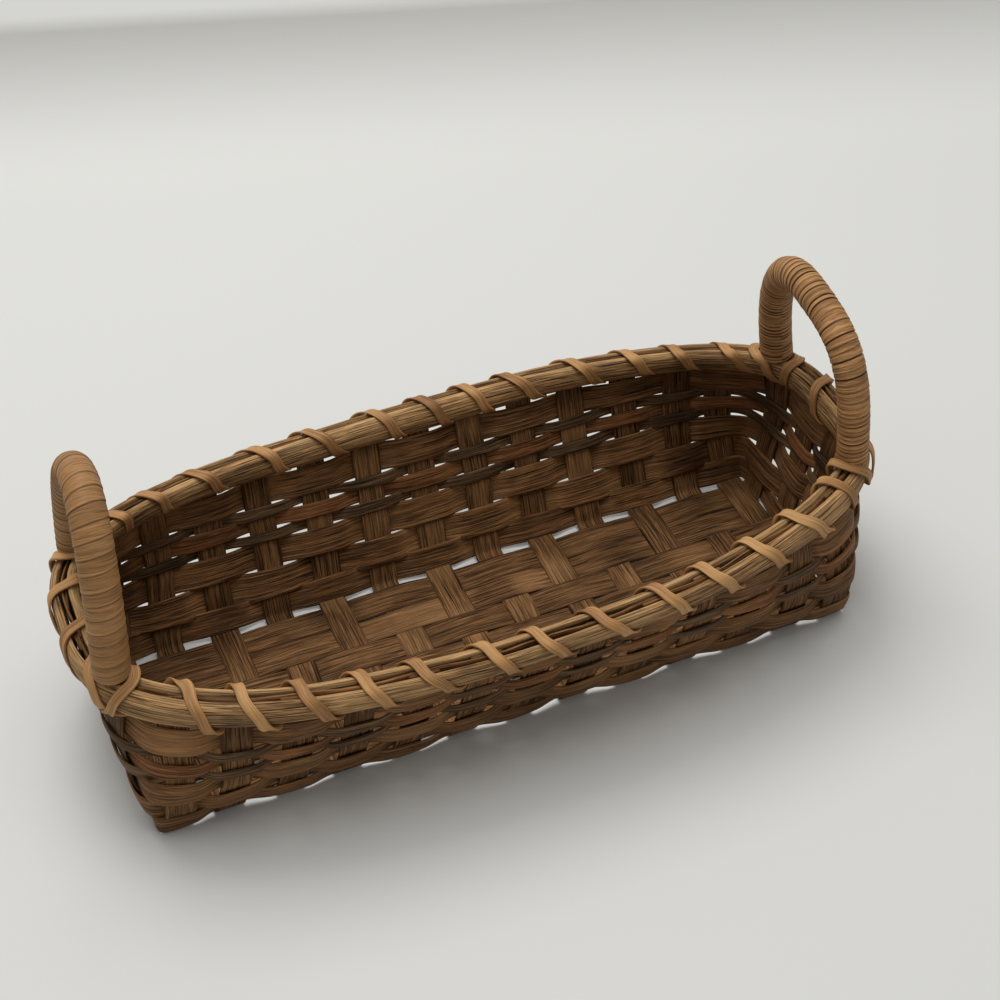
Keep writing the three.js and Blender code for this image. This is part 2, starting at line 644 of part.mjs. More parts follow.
function coreSolid(side, bow) {
  const roundRing = (s) => {
    const { point, inward } = bow.at(s);
    const ring = [];
    for (let k = 0; k < CORE_SIDES; k++) {
      const angle = (2 * Math.PI * (k + 0.5)) / CORE_SIDES;
      ring.push(
        point
          .clone()
          .addScaledVector(inward, bow.coreRadius * Math.cos(angle))
          .addScaledVector(bow.normal, bow.coreRadius * Math.sin(angle)),
      );
    }
    return ring;
  };
  const stops = [STEM_RISE];
  for (let i = 1; i < CORE_RINGS; i++) stops.push(bow.stepLength(i / CORE_RINGS));
  stops.push(bow.length - STEM_RISE);
  const lastOrder = longStrips.length - 1;
  const tangLevels = [RIM_LOW, RIM_TOP + SEAT];
  const start = tangLevels.map((level) => tangRing(side, 0, level, bow.at(0)));
  const end = tangLevels.map((level) => tangRing(side, lastOrder, level, bow.at(bow.length))).reverse();
  return solidFromRings([...start, ...stops.map(roundRing), ...end], false);
}

// The wrap keeps an even pitch on the inside of the bow and fans out on the outside.
function wrapSolid(bow) {
  const radius = bow.coreRadius + WRAP_CLEAR + WRAP_THICKNESS / 2;
  const innerLength = (s) => s - radius * bow.at(s).bent;
  const width = (innerLength(bow.length) - 2 * WRAP_START + WRAP_GAP) / (WRAP_TURNS + 1) - WRAP_GAP;
  const from = innerLength(WRAP_START + width / 2);
  const to = innerLength(bow.length - WRAP_START - width / 2);
  const placeOf = (wanted) => {
    let low = 0;
    let high = bow.length;
    for (let i = 0; i < 40; i++) {
      const middle = (low + high) / 2;
      if (innerLength(middle) > wanted) high = middle;
      else low = middle;
    }
    return low;
  };
  const points = [];
  const folds = [];
  const count = WRAP_TURNS * WRAP_STEPS;
  for (let i = 0; i <= count; i++) {
    const { point, inward, run } = bow.at(placeOf(THREE.MathUtils.lerp(from, to, i / count)));
    const angle = (2 * Math.PI * i) / WRAP_STEPS;
    const radial = inward.multiplyScalar(Math.cos(angle)).addScaledVector(bow.normal, Math.sin(angle));
    points.push(point.clone().addScaledVector(radial, radius));
    folds.push(run.negate());
  }
  return reedSolid(points, folds, width, WRAP_THICKNESS);
}

for (const [place, side, height, squareness] of [
  ["left", -1, LEFT_HANDLE_HEIGHT, LEFT_HANDLE_SQUARENESS],
  ["right", 1, RIGHT_HANDLE_HEIGHT, RIGHT_HANDLE_SQUARENESS],
]) {
  const bow = bowPath(side, height, squareness);
  addPiece(place + "_handle_core", coreSolid(side, bow), CORE_FINISH);
  const wrap = wrapSolid(bow);
  leastGap(place + "_handle_wrap", wrap.rings, WRAP_STEPS);
  addPiece(place + "_handle_wrap", wrap.geometry, WRAP_FINISH);
}

export default basket;
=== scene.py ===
import math

import bmesh
import bpy
import numpy as np
from mathutils import Matrix


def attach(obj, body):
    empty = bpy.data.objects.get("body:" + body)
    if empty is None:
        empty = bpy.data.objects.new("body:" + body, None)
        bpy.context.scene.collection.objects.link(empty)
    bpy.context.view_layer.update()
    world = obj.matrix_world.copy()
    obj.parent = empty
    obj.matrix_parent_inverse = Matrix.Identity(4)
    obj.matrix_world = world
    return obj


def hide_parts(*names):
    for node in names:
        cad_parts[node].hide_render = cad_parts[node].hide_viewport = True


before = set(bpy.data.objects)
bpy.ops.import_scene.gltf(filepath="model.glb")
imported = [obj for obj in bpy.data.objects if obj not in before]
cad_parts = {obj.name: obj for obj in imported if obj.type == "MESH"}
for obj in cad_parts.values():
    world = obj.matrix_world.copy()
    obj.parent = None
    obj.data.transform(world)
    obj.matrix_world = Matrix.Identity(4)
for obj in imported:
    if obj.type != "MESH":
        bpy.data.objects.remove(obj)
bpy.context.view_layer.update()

# Camera
# It stands in front of the basket and a little to its left, and looks down by 41 degrees. The lens is
# a little longer than a portrait one.
camera_data = bpy.data.cameras.new("camera")
camera_data.sensor_width = 36.0
camera_data.lens = 70.78
camera = bpy.data.objects.new("camera", camera_data)
bpy.context.scene.collection.objects.link(camera)
bpy.context.scene.camera = camera
camera_yaw = 0.3397
camera_pitch = 0.7234
camera_roll = -0.0582
forward = np.array([
    math.sin(camera_yaw) * math.cos(camera_pitch),
    math.cos(camera_yaw) * math.cos(camera_pitch),
    -math.sin(camera_pitch),
])
level_right = np.array([math.cos(camera_yaw), -math.sin(camera_yaw), 0.0])
level_up = np.cross(level_right, forward)
camera_right = level_right * math.cos(camera_roll) + level_up * math.sin(camera_roll)
camera_up = level_up * math.cos(camera_roll) - level_right * math.sin(camera_roll)
camera_axes = np.column_stack([camera_right, camera_up, -forward])
camera.matrix_world = Matrix(camera_axes.tolist()).to_4x4()
camera.location = (-0.1904, -0.5819, 0.6227)

# Cross stakes
# Thirteen strips of half-inch flat reed, an inch apart, that run under the base and stand up in both
# long sides. They are folded sharply while wet, and cut off between the rim bands.
MM = 0.001
STEP = 1.2
REED = 1.1
CROSS_STAKES = 13
STAKE_WIDTH = 12.6
STAKE_SPACING = 25.4
OUTER_STAKE_X = 148.6
STAKE_LEVEL = 1.8
FOLD_LEVEL = 4.0
TIP_LEVEL = 75.2
BASE_HALF_LENGTH = 156.15
BASE_HALF_WIDTH = 49.5
BASE_SQUARENESS = 150.0
BASE_REED_RISE = 0.62
RIM_LOW = 63.2
RIM_TOP = 75.8
RIM_HALF_LENGTH = 169.3
RIM_HALF_WIDTH = 77.9
RIM_SQUARENESS = 2.49
RIM_END_RISE = 7.5
CORNER_EASE = 1.3
WALL_BELLY = 0.25
WALL_LEAN_SHARE = 0.93
OUTLINE_POINTS = 14401
# The rim is bent by hand: how far it lies outside its even curve, and above it, at sixteen places
# anticlockwise from the middle of the right end.
RIM_SWAY = [2.3, 3.8, 1.3, 1.6, 1.2, 0.4, 0.5, -0.3, -2.6, -0.4, 0.9, 1.0, 1.6, 1.0, 0.2, 3.6]
RIM_LIFT = [-0.3, -0.5, -0.6, 0.0, 0.1, 0.0, 0.4, 1.2, 0.8, 0.5, 0.0, 0.0, -0.2, -0.1, 0.1, -0.3]


def round_loop(values, turn):
    """Values at even steps round a loop, joined by a smooth curve."""
    count = len(values)
    at = np.mod(turn / (2 * math.pi), 1) * count
    i = np.floor(at).astype(int)
    t = at - i
    v = np.array(values)
    a, b, c, d = (v[(i + k) % count] for k in (-1, 0, 1, 2))
    return b + 0.5 * t * (c - a + t * (2 * a - 5 * b + 4 * c - d + t * (3 * (b - c) + d - a)))


def unit(vectors):
    return vectors / np.maximum(np.linalg.norm(vectors, axis=-1, keepdims=True), 1e-12)


class WallCurve:
    """The wall's outline at one level, measured anticlockwise from the middle of the right end."""

    def __init__(self, level):
        self.level = level
        share = (level - STAKE_LEVEL) / (RIM_TOP - STAKE_LEVEL)
        self.spread = share * (1 + WALL_BELLY) - WALL_BELLY * share * share
        self.slope = (1 + WALL_BELLY - 2 * WALL_BELLY * share) / (RIM_TOP - STAKE_LEVEL)
        self.half_length = BASE_HALF_LENGTH + (RIM_HALF_LENGTH - BASE_HALF_LENGTH) * self.spread
        self.half_width = BASE_HALF_WIDTH + (RIM_HALF_WIDTH - BASE_HALF_WIDTH) * self.spread
        base_softness = 1 / BASE_SQUARENESS
        softening = max(share, 0) ** CORNER_EASE * (1 / RIM_SQUARENESS - base_softness)
        self.squareness = 1 / (base_softness + softening)
        self.turn = np.linspace(0, 2 * math.pi, OUTLINE_POINTS)
        c, s = np.cos(self.turn), np.sin(self.turn)
        slimness = self.half_width / self.half_length
        n = self.squareness
        reach = self.half_width * (np.abs(c * slimness) ** n + np.abs(s) ** n) ** (-1 / n)
        self.x = reach * c
        self.y = reach * s
        steps = np.hypot(np.diff(self.x), np.diff(self.y))
        self.length = np.concatenate([[0], np.cumsum(steps)])
        self.total = self.length[-1]

    def length_at(self, x, y):
        return float(np.interp(math.atan2(y, x) % (2 * math.pi), self.turn, self.length))

    def side_place(self, x, side):
        """The length at which a long side, the rear 1 or the front -1, has this x."""
        n = self.squareness
        other = self.half_width * (1 - min(abs(x) / self.half_length, 1) ** n) ** (1 / n)
        return self.length_at(x, side * other)

    def end_place(self, y, side):
        """The length at which an end, the right 1 or the left -1, has this y."""
        n = self.squareness
        other = self.half_length * (1 - min(abs(y) / self.half_width, 1) ** n) ** (1 / n)
        return self.length_at(side * other, y)

    def points(self, lengths, outwards=0.0):
        """Points at these lengths, moved out square to the wall, and the level directions outwards."""
        wrapped = np.mod(lengths, self.total)
        x = np.interp(wrapped, self.length, self.x)
        y = np.interp(wrapped, self.length, self.y)
        n = self.squareness
        gx = np.sign(x) * np.abs(x / self.half_length) ** (n - 1) / self.half_length
        gy = np.sign(y) * np.abs(y / self.half_width) ** (n - 1) / self.half_width
        size = np.hypot(gx, gy)
        out = np.stack([gx / size, gy / size, np.zeros_like(gx)], 1)
        turn = np.arctan2(y / self.half_width, x / self.half_length)
        sway = round_loop(RIM_SWAY, turn) * self.spread**2
        lift = round_loop(RIM_LIFT, turn) * self.spread**2
        end_rise = RIM_END_RISE / (RIM_TOP - STAKE_LEVEL) * (x / RIM_HALF_LENGTH) ** 2
        height = STAKE_LEVEL + (self.level - STAKE_LEVEL) * (1 + end_rise)
        middle = np.stack([x, y, height + lift], 1) + out * sway[:, None]
        flare = np.array([RIM_HALF_LENGTH - BASE_HALF_LENGTH, RIM_HALF_WIDTH - BASE_HALF_WIDTH, 0])
        wall_lean = np.arctan(np.linalg.norm(out * flare, axis=1) * self.slope)
        lean = WALL_LEAN_SHARE * wall_lean[:, None]
        square = out * np.cos(lean) - np.array([0, 0, 1]) * np.sin(lean)
        return middle + square * np.reshape(outwards, (-1, 1)), out


wall_curves = {}


def wall_curve(level):
    key = round(level, 3)
    if key not in wall_curves:
        wall_curves[key] = WallCurve(key)
    return wall_curves[key]


# Where each stake stands at its fold, and where its tip stands at the rim: the cross stakes' x from
# left to right, and the long stakes' y from the rear to the front.
stake_x = [(k - CROSS_STAKES // 2) * STAKE_SPACING for k in range(CROSS_STAKES)]
stake_x = [max(-OUTER_STAKE_X, min(OUTER_STAKE_X, x)) for x in stake_x]
front_tops = [-141, -118.5, -95.5, -72.2, -47, -21.6, 2.5, 26.5, 51, 75, 99.5, 122, 142]
rear_tops = [-141, -118.6, -95.2, -71.9, -46, -20.3, 4, 28.7, 53.3, 77.7, 103, 127, 144]
strip_y = [37.9, 23.2, 8.5, -6.4, -21.6, -38.0]
long_strips = [0, 2, 3, 5]
end_feet = [strip_y[j] for j in long_strips]
end_tops = [35.05, 12.8, -11.5, -36.8]

# Crossings of stakes and wall go anticlockwise from the front left corner: the front, the right end,
# the rear and the left end.
crossings = [("side", -1, x, top) for x, top in zip(stake_x, front_tops)]
crossings += [("end", 1, y, top) for y, top in zip(end_feet[::-1], end_tops[::-1])]
crossings += [("side", 1, x, top) for x, top in zip(stake_x[::-1], rear_tops[::-1])]
crossings += [("end", -1, y, top) for y, top in zip(end_feet, end_tops)]
REAR_FIRST = CROSS_STAKES + len(end_feet)
LEFT_FIRST = REAR_FIRST + CROSS_STAKES


def crossing_place(crossing, level):
    """Where a stake stands in the wall at a level, as a length along the wall."""
    kind, side, foot, top = crossing
    curve = wall_curve(level)
    along = foot + (top - foot) * curve.spread
    return curve.side_place(along, side) if kind == "side" else curve.end_place(along, side)


# The weavers of the wall from the base up: the lowest and the highest level of each, and how far each
# pushes a stake out of the wall's middle.
rows = [
    (1.6, 12.0), (10.5, 22.6), (22.4, 34.2), (34.1, 38.8),
    (38.6, 45.2), (45.0, 49.8), (49.6, 61.6), (62.9, 74.8),
]
row_middles = [(low + high) / 2 for low, high in rows]
row_push = [0.42, 0.42, 0.42, 0.21, 0.21, 0.21, 0.42, 0.672]


def weaver_side(j, row):
    """1 where the row passes outside the stake of crossing j, and -1 inside."""
    return 1 if (j + row) % 2 == 0 else -1


def stake_wave(j, level):
    """How far a stake is pushed out of the wall's middle: away from the weaver that passes it."""
    push = [-row_push[row] * weaver_side(j, row) for row in range(len(rows))]
    return float(np.interp(level, row_middles, push))


def smoothed(values, step, width, closed=False):
    """A curve's points blurred along it, as a reed rounds a bend."""
    radius = max(1, int(round(3 * width / step)))
    kernel = np.exp(-0.5 * (np.arange(-radius, radius + 1) * step / width) ** 2)
    kernel /= kernel.sum()
    mode = "wrap" if closed else "edge"
    padded = np.pad(values, ((radius, radius), (0, 0)), mode=mode)
    return np.stack([np.convolve(padded[:, i], kernel, "valid") for i in range(values.shape[1])], 1)


def wander(rng, lengths, wavelength, size, total=None):
    """A smooth random wobble along a reed, which closes on itself where a total length is given."""
    out = np.zeros_like(lengths)
    span = total if total else max(float(lengths[-1]), 1.0)
    waves = max(2, int(span / wavelength))
    for k in range(1, waves + 1):
        phase = rng.uniform(0, 2 * math.pi)
        out += rng.normal() * np.sin(2 * math.pi * k * lengths / span + phase)
    return size * out / math.sqrt(waves / 2)


def reed_section(thickness, crown, steps=4):
    """A flat reed's section: shares of its half width, and heights, round both faces and both edges."""
    face_share = 0.93
    across = np.cos(np.linspace(0, math.pi, 2 * steps + 1))[1:-1] * face_share
    top = [(float(v), thickness / 2 + crown * (1 - float(v) ** 2)) for v in across]
    bottom = [(float(v), -thickness / 2 + crown * (1 - float(v) ** 2)) for v in across[::-1]]
    edge = [(0.99, 0.3), (1.0, 0.0), (0.99, -0.3)]
    right = [(v, h * thickness) for v, h in edge[::-1]]
    left = [(-v, h * thickness) for v, h in edge]
    return right + top + left + bottom


def reed_piece(name, rings, reed_map, tones, closed=False):
    """A piece from rings of points in mm, the reed's map on them, and how dark (or pale) each is, from its
    own tone together with any painted shade and painted highlights.
    """
    count, sides = rings.shape[:2]
    r = np.arange(count if closed else count - 1)[:, None]
    s = np.arange(sides)[None, :]
    after, beside = (r + 1) % count, (s + 1) % sides
    quads = np.stack([r * sides + s, r * sides + beside, after * sides + beside, after * sides + s], -1)
    faces = quads.reshape(-1, 4).tolist()
    if not closed:
        faces.append(list(range(sides))[::-1])
        faces.append(list(range((count - 1) * sides, count * sides)))
    mesh = bpy.data.meshes.new(name)
    mesh.from_pydata((rings.reshape(-1, 3) * MM).tolist(), [], faces)
    corners = [reed_map[:-1, :-1], reed_map[:-1, 1:], reed_map[1:, 1:], reed_map[1:, :-1]]
    on_quads = np.stack(corners, 2).reshape(-1, 2)
    on_cut_ends = np.tile(on_quads[:1], (len(mesh.loops) - len(on_quads), 1))
    layer = mesh.uv_layers.new(name="Reed")
    layer.uv.foreach_set("vector", np.concatenate([on_quads, on_cut_ends]).astype(np.float32).ravel())
    attribute = mesh.attributes.new("tone", "FLOAT", "POINT")
    attribute.data.foreach_set("value", tones.astype(np.float32).ravel())
    mesh.polygons.foreach_set("use_smooth", np.ones(len(mesh.polygons), dtype=bool))
    work = bmesh.new()
    work.from_mesh(mesh)
    bmesh.ops.recalc_face_normals(work, faces=work.faces)
    work.to_mesh(mesh)
    work.free()
    piece = bpy.data.objects.new(name, mesh)
    bpy.context.scene.collection.objects.link(piece)
    return piece


def sweep(name, centre, half, up, section, tone, grain_from, closed=False, painted_edge_shading=0.25):
    """A reed along its middle line. half points to its edge, and up out of its face.

    grain_from is where its grain starts in the pattern, in metres; the edge setting paints shade along its
    edges when above zero, and a highlight along them when below zero."""
    shares = np.array([v for v, h in section])
    rises = np.array([h for v, h in section])
    rings = centre[:, None, :] + half[:, None, :] * shares[None, :, None]
    rings = rings + up[:, None, :] * rises[None, :, None]
    steps = np.linalg.norm(np.diff(centre, axis=0, append=centre[:1]), axis=1)
    along = np.concatenate([[0], np.cumsum(steps)]) * MM + grain_from
    if not closed:
        along = along[:-1]
    width = np.linalg.norm(half, axis=1).mean()
    flat = np.stack([shares * width, rises], 1)
    girth = np.cumsum(np.linalg.norm(np.roll(flat, -1, 0) - flat, axis=1))
    girth = np.concatenate([[0], girth]) * MM
    reed_map = np.stack(np.meshgrid(along, girth, indexing="ij"), -1)
    # Painted light along the edges: shade where the edge setting is above zero, a highlight where it is
    # below zero.
    edge_shading_tones = np.clip((np.abs(shares) - 0.8) / 0.2, 0, 1)[None, :] * painted_edge_shading
    tones = np.zeros((len(centre), len(section))) + np.reshape(tone, (-1, 1)) + edge_shading_tones
    return reed_piece(name, rings, reed_map, tones, closed)


def socket(group, name, kind, inwards=True, value=None):
    made = group.interface.new_socket(name=name, in_out="INPUT" if inwards else "OUTPUT", socket_type=kind)
    if value is not None:
        made.default_value = value


def add_node(tree, kind, **settings):
    made = tree.nodes.new(kind)
    for key, value in settings.items():
        setattr(made, key, value)
    return made


def feed(tree, value, target):
    """Link an output to a socket, or set the socket to a plain value."""
    if isinstance(value, bpy.types.NodeSocket):
        tree.links.new(value, target)
    else:
        target.default_value = value


def math_node(tree, operation, *values, clamp=False):
    made = add_node(tree, "ShaderNodeMath", operation=operation, use_clamp=clamp)
    for index, value in enumerate(values):
        feed(tree, value, made.inputs[index])
    return made.outputs[0]


def mix_colour(tree, share, first, second):
    made = add_node(tree, "ShaderNodeMix", data_type="RGBA")
    for index, value in ((0, share), (6, first), (7, second)):
        feed(tree, value, made.inputs[index])
    return made.outputs[2]


def ramp(tree, value, low, high):
    """0 below low and 1 above high, with a smooth slope between them."""
    made = add_node(tree, "ShaderNodeMapRange", interpolation_type="SMOOTHSTEP")
    for index, setting in enumerate((value, low, high)):
        feed(tree, setting, made.inputs[index])
    return made.outputs[0]


def fibre_noise(tree, coordinates, along, across, detail, shift=0.0):
    """Noise drawn out along the reed: about so many waves per metre along and across it."""
    scaled = tree.nodes.new("ShaderNodeMapping")
    scaled.inputs["Scale"].default_value = (along, across, 1.0)
    scaled.inputs["Location"].default_value = (shift, shift * 1.7, 0.0)
    tree.links.new(coordinates, scaled.inputs["Vector"])
    noise = add_node(tree, "ShaderNodeTexNoise", noise_dimensions="2D")
    noise.inputs["Scale"].default_value = 1.0
    noise.inputs["Detail"].default_value = detail
    noise.inputs["Roughness"].default_value = 0.6
    tree.links.new(scaled.outputs[0], noise.inputs["Vector"])
    return noise.outputs[0]


# The grain of split cane: long streaks, fine fibres, dark cracks along them, and a stain that took
# unevenly, with painted shade in the hollows between its ridges. The reed's own map runs along it in
# metres and round it in metres.
grain = bpy.data.node_groups.new("split_cane_grain", "ShaderNodeTree")
for name, kind, value in (
    ("Dark", "NodeSocketColor", (0.05, 0.03, 0.015, 1)),
    ("Body", "NodeSocketColor", (0.2, 0.12, 0.06, 1)),
    ("Pale", "NodeSocketColor", (0.35, 0.24, 0.13, 1)),
    ("Streaks", "NodeSocketFloat", 1.0),
    ("Cracks", "NodeSocketFloat", 0.5),
    ("Stain", "NodeSocketFloat", 0.5),
):
    socket(grain, name, kind, True, value)
socket(grain, "Colour", "NodeSocketColor", False)
socket(grain, "Roughness", "NodeSocketFloat", False)
socket(grain, "Height", "NodeSocketFloat", False)
grain_in = grain.nodes.new("NodeGroupInput").outputs
grain_out = grain.nodes.new("NodeGroupOutput").inputs
dark, pale, streaks = grain_in["Dark"], grain_in["Pale"], grain_in["Streaks"]
reed_map = add_node(grain, "ShaderNodeUVMap", uv_map="Reed").outputs[0]
spot = grain.nodes.new("ShaderNodeTexCoord").outputs["Object"]
tone = add_node(grain, "ShaderNodeAttribute", attribute_name="tone").outputs["Fac"]
broad = fibre_noise(grain, reed_map, 9, 300, 2)
ridge = fibre_noise(grain, reed_map, 26, 760, 3, 5.3)
streak = fibre_noise(grain, reed_map, 34, 1500, 3, 3.1)
fibre = fibre_noise(grain, reed_map, 110, 3600, 2, 7.7)
crack = fibre_noise(grain, reed_map, 30, 1900, 1, 12.3)
stain = add_node(grain, "ShaderNodeTexNoise", noise_dimensions="3D")
stain.inputs["Scale"].default_value = 42.0
stain.inputs["Detail"].default_value = 3.0
grain.links.new(spot, stain.inputs["Vector"])

body = mix_colour(grain, ramp(grain, broad, 0.35, 0.6), dark, grain_in["Body"])
evenness = math_node(grain, "SUBTRACT", 1.0, math_node(grain, "MULTIPLY", streaks, 0.7))
body = mix_colour(grain, evenness, body, grain_in["Body"])
pale_share = math_node(grain, "MULTIPLY", ramp(grain, streak, 0.42, 0.7), streaks, clamp=True)
body = mix_colour(grain, pale_share, body, pale)
fibre_share = math_node(grain, "MULTIPLY", ramp(grain, fibre, 0.56, 0.34), streaks)
body = mix_colour(grain, math_node(grain, "MULTIPLY", fibre_share, 0.85), body, dark)
# Painted shade in the hollows between the grain's ridges, where the bump sinks.
valley_shade_strength = math_node(grain, "MULTIPLY", streaks, 0.65)
painted_valley_shade = math_node(grain, "MULTIPLY", ramp(grain, ridge, 0.46, 0.34), valley_shade_strength)
body = mix_colour(grain, painted_valley_shade, body, dark)
crack_share = math_node(grain, "MULTIPLY", ramp(grain, crack, 0.42, 0.33), grain_in["Cracks"], clamp=True)
body = mix_colour(grain, crack_share, body, dark)
stain_share = math_node(grain, "MULTIPLY", ramp(grain, stain.outputs[0], 0.45, 0.75), grain_in["Stain"])
body = mix_colour(grain, stain_share, body, dark)
# The tone attribute darkens towards Dark and lightens towards Pale. It holds each piece's random tone, and
# also the painted shade and painted highlights set on edges, seams and where rows pass inside stakes.
darker = math_node(grain, "MAXIMUM", tone, 0.0)
paler = math_node(grain, "MAXIMUM", math_node(grain, "MULTIPLY", tone, -1.0), 0.0)
body = mix_colour(grain, darker, body, dark)
body = mix_colour(grain, paler, body, pale)
grain.links.new(body, grain_out["Colour"])

grain.links.new(math_node(grain, "MULTIPLY_ADD", streak, -0.3, 0.72), grain_out["Roughness"])

broad_ridges = math_node(grain, "MULTIPLY", ridge, 2.2)
ridges = math_node(grain, "ADD", broad_ridges, math_node(grain, "MULTIPLY", streak, 0.8))
ridges = math_node(grain, "ADD", ridges, math_node(grain, "MULTIPLY", fibre, 0.3))
ridges = math_node(grain, "SUBTRACT", ridges, math_node(grain, "MULTIPLY", crack_share, 0.6))
grain.links.new(ridges, grain_out["Height"])


def reed_material(name, dark, body, pale, streaks, cracks, stain, bump, specular):
    """A reed's finish. Colours are written as they render, in sRGB from 0 to 255."""

    def linear(colour):
        share = np.array(colour) / 255.0
        return (*np.where(share <= 0.04045, share / 12.92, ((share + 0.055) / 1.055) ** 2.4).tolist(), 1.0)

    made = bpy.data.materials.new(name)
    made.use_nodes = True
    tree = made.node_tree
    shader = tree.nodes["Principled BSDF"]
    shader.inputs["Specular IOR Level"].default_value = specular
    grained = add_node(tree, "ShaderNodeGroup", node_tree=grain)
    for key, value in (("Dark", linear(dark)), ("Body", linear(body)), ("Pale", linear(pale))):
        grained.inputs[key].default_value = value
    for key, value in (("Streaks", streaks), ("Cracks", cracks), ("Stain", stain)):
        grained.inputs[key].default_value = value
    bumped = tree.nodes.new("ShaderNodeBump")
    bumped.inputs["Strength"].default_value = bump
    bumped.inputs["Distance"].default_value = 0.0004
    tree.links.new(grained.outputs["Height"], bumped.inputs["Height"])
    tree.links.new(grained.outputs["Colour"], shader.inputs["Base Color"])
    tree.links.new(grained.outputs["Roughness"], shader.inputs["Roughness"])
    tree.links.new(bumped.outputs[0], shader.inputs["Normal"])
    return made


def finish_piece(piece, material, node):
    piece.data.materials.append(material)
    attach(piece, "root")
    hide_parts(node)


def wall_stretch(j, top):
    """Middle line and edge direction of crossing j's stake, from above its fold up to its tip."""
    middles, edges = [], []
    for level in np.arange(FOLD_LEVEL, top, STEP):
        curve = wall_curve(round(float(level), 1))
        at = crossing_place(crossings[j], curve.level)
        point, out = curve.points(np.array([at]), stake_wave(j, level))
        middles.append(point[0])
        edges.append([-out[0][1], out[0][0], 0.0])
    return np.array(middles), np.array(edges)


def reed_along(name, centre, edge, width, section, rng, grain_from):
    """A flat reed along a line, evenly spaced, rounded at its bends and a little uneven."""
    steps = np.linalg.norm(np.diff(centre, axis=0), axis=1)
    length = np.concatenate([[0], np.cumsum(steps)])
    even = np.linspace(0, length[-1], max(8, int(length[-1] / STEP)))
    centre = np.stack([np.interp(even, length, centre[:, i]) for i in range(3)], 1)
    edge = np.stack([np.interp(even, length, edge[:, i]) for i in range(3)], 1)
    centre = smoothed(centre, STEP, 1.5)
    run = unit(np.gradient(centre, axis=0))
    edge = edge - run * (edge * run).sum(1, keepdims=True)
    edge = unit(smoothed(edge, STEP, 1.5))
    up = unit(np.cross(run, edge))
    half_width = width / 2 + wander(rng, even, 22, 0.14)
    centre = centre + edge * wander(rng, even, 40, 0.22)[:, None]
    tone = wander(rng, even, 30, 0.12) + rng.uniform(-0.1, 0.16)
    # Stakes and base strips get the default painted shade along their edges.
    return sweep(name, centre, edge * half_width[:, None], up, section, tone, grain_from)


def folded_reed(name, ends, base, base_edge, width, tips, section, rng, grain_from):
    """A stake from one tip, down the wall, along its base line and up to the other tip."""
    down, down_edge = wall_stretch(ends[0], tips[0])
    up, up_edge = wall_stretch(ends[1], tips[1])
    centre = np.concatenate([down[::-1], base, up])
    edge = np.concatenate([-down_edge[::-1], np.tile(base_edge, (len(base), 1)), up_edge])
    return reed_along(name, centre, edge, width, section, rng, grain_from)


def base_wave(k, strip):
    """1 where cross stake k lies above the strip, and -1 below. Each outer two strips lie as one."""
    return 1 if (k + [0, 0, 1, 2, 3, 3][strip]) % 2 == 0 else -1


stake_reed = reed_material(
    "stained_stake", dark=(19, 11, 6), body=(127, 88, 54), pale=(172, 130, 86),
    streaks=0.6, cracks=0.85, stain=0.4, bump=0.9, specular=0.08,
)
stake_section = reed_section(REED, 0.12)
for k in range(CROSS_STAKES):
    rng = np.random.default_rng(100 + k)
    y = np.arange(BASE_HALF_WIDTH, -BASE_HALF_WIDTH - 0.01, -STEP)
    places = [-BASE_HALF_WIDTH, *strip_y[::-1], BASE_HALF_WIDTH]
    lifts = [BASE_REED_RISE * base_wave(k, j) for j in range(len(strip_y))]
    z = STAKE_LEVEL + np.interp(y, places, [0.0, *lifts[::-1], 0.0])
    base = np.stack([np.full_like(y, stake_x[k]), y, z], 1)
    edge = (1.0, 0.0, 0.0)
    ends = (LEFT_FIRST - 1 - k, k)
    tips = (TIP_LEVEL + rng.uniform(-1.8, 0.7), TIP_LEVEL + rng.uniform(-1.8, 0.7))
    node = "cross_stake_%02d" % (k + 1)
    piece = folded_reed("reed_" + node, ends, base, edge, STAKE_WIDTH, tips, stake_section, rng, k * 0.73)
    finish_piece(piece, stake_reed, node)

# Long stakes and base fillers
# Six strips of wider flat reed along the base. Four are folded up into the two ends; the second and
# the fifth are cut off at the last cross stakes. Where one hides a cross stake, that one lies below.
STRIP_WIDTH = 14.5
BASE_REED_GAP = 0.1
strip_section = reed_section(REED, 0.1)
for j in range(len(strip_y)):
    rng = np.random.default_rng(200 + j)
    reach = BASE_HALF_LENGTH if j in long_strips else OUTER_STAKE_X + STAKE_WIDTH / 2
    x = np.arange(-reach, reach + 0.01, STEP)
    places = [-reach - 1, *stake_x, reach + 1]
    lifts = [-base_wave(k, j) for k in range(CROSS_STAKES)]
    lifts = [lifts[0], *lifts, lifts[-1]]
    z = STAKE_LEVEL + (REED + BASE_REED_GAP - BASE_REED_RISE) * np.interp(x, places, lifts)
    base = np.stack([x, np.full_like(x, strip_y[j]), z], 1)
    edge = (0.0, 1.0, 0.0)
    grain_from = 11 + j * 0.7
    if j in long_strips:
        e = long_strips.index(j)
        ends = (LEFT_FIRST + e, REAR_FIRST - 1 - e)
        # A handle's feet stand between the bands where the outer two would, so these end below them.
        tip = RIM_LOW - 1 if e in (0, 3) else TIP_LEVEL
        tips = (tip + rng.uniform(-0.8, 0.4), tip + rng.uniform(-0.8, 0.4))
        node = "long_stake_%d" % (e + 1)
        piece = folded_reed(
            "reed_" + node, ends, base, edge, STRIP_WIDTH, tips, strip_section, rng, grain_from
        )
    else:
        node = "base_filler_%d" % (1 if j == 1 else 2)
        edges = np.tile(edge, (len(base), 1))
        piece = reed_along("reed_" + node, base, edges, STRIP_WIDTH, strip_section, rng, grain_from)
    finish_piece(piece, stake_reed, node)

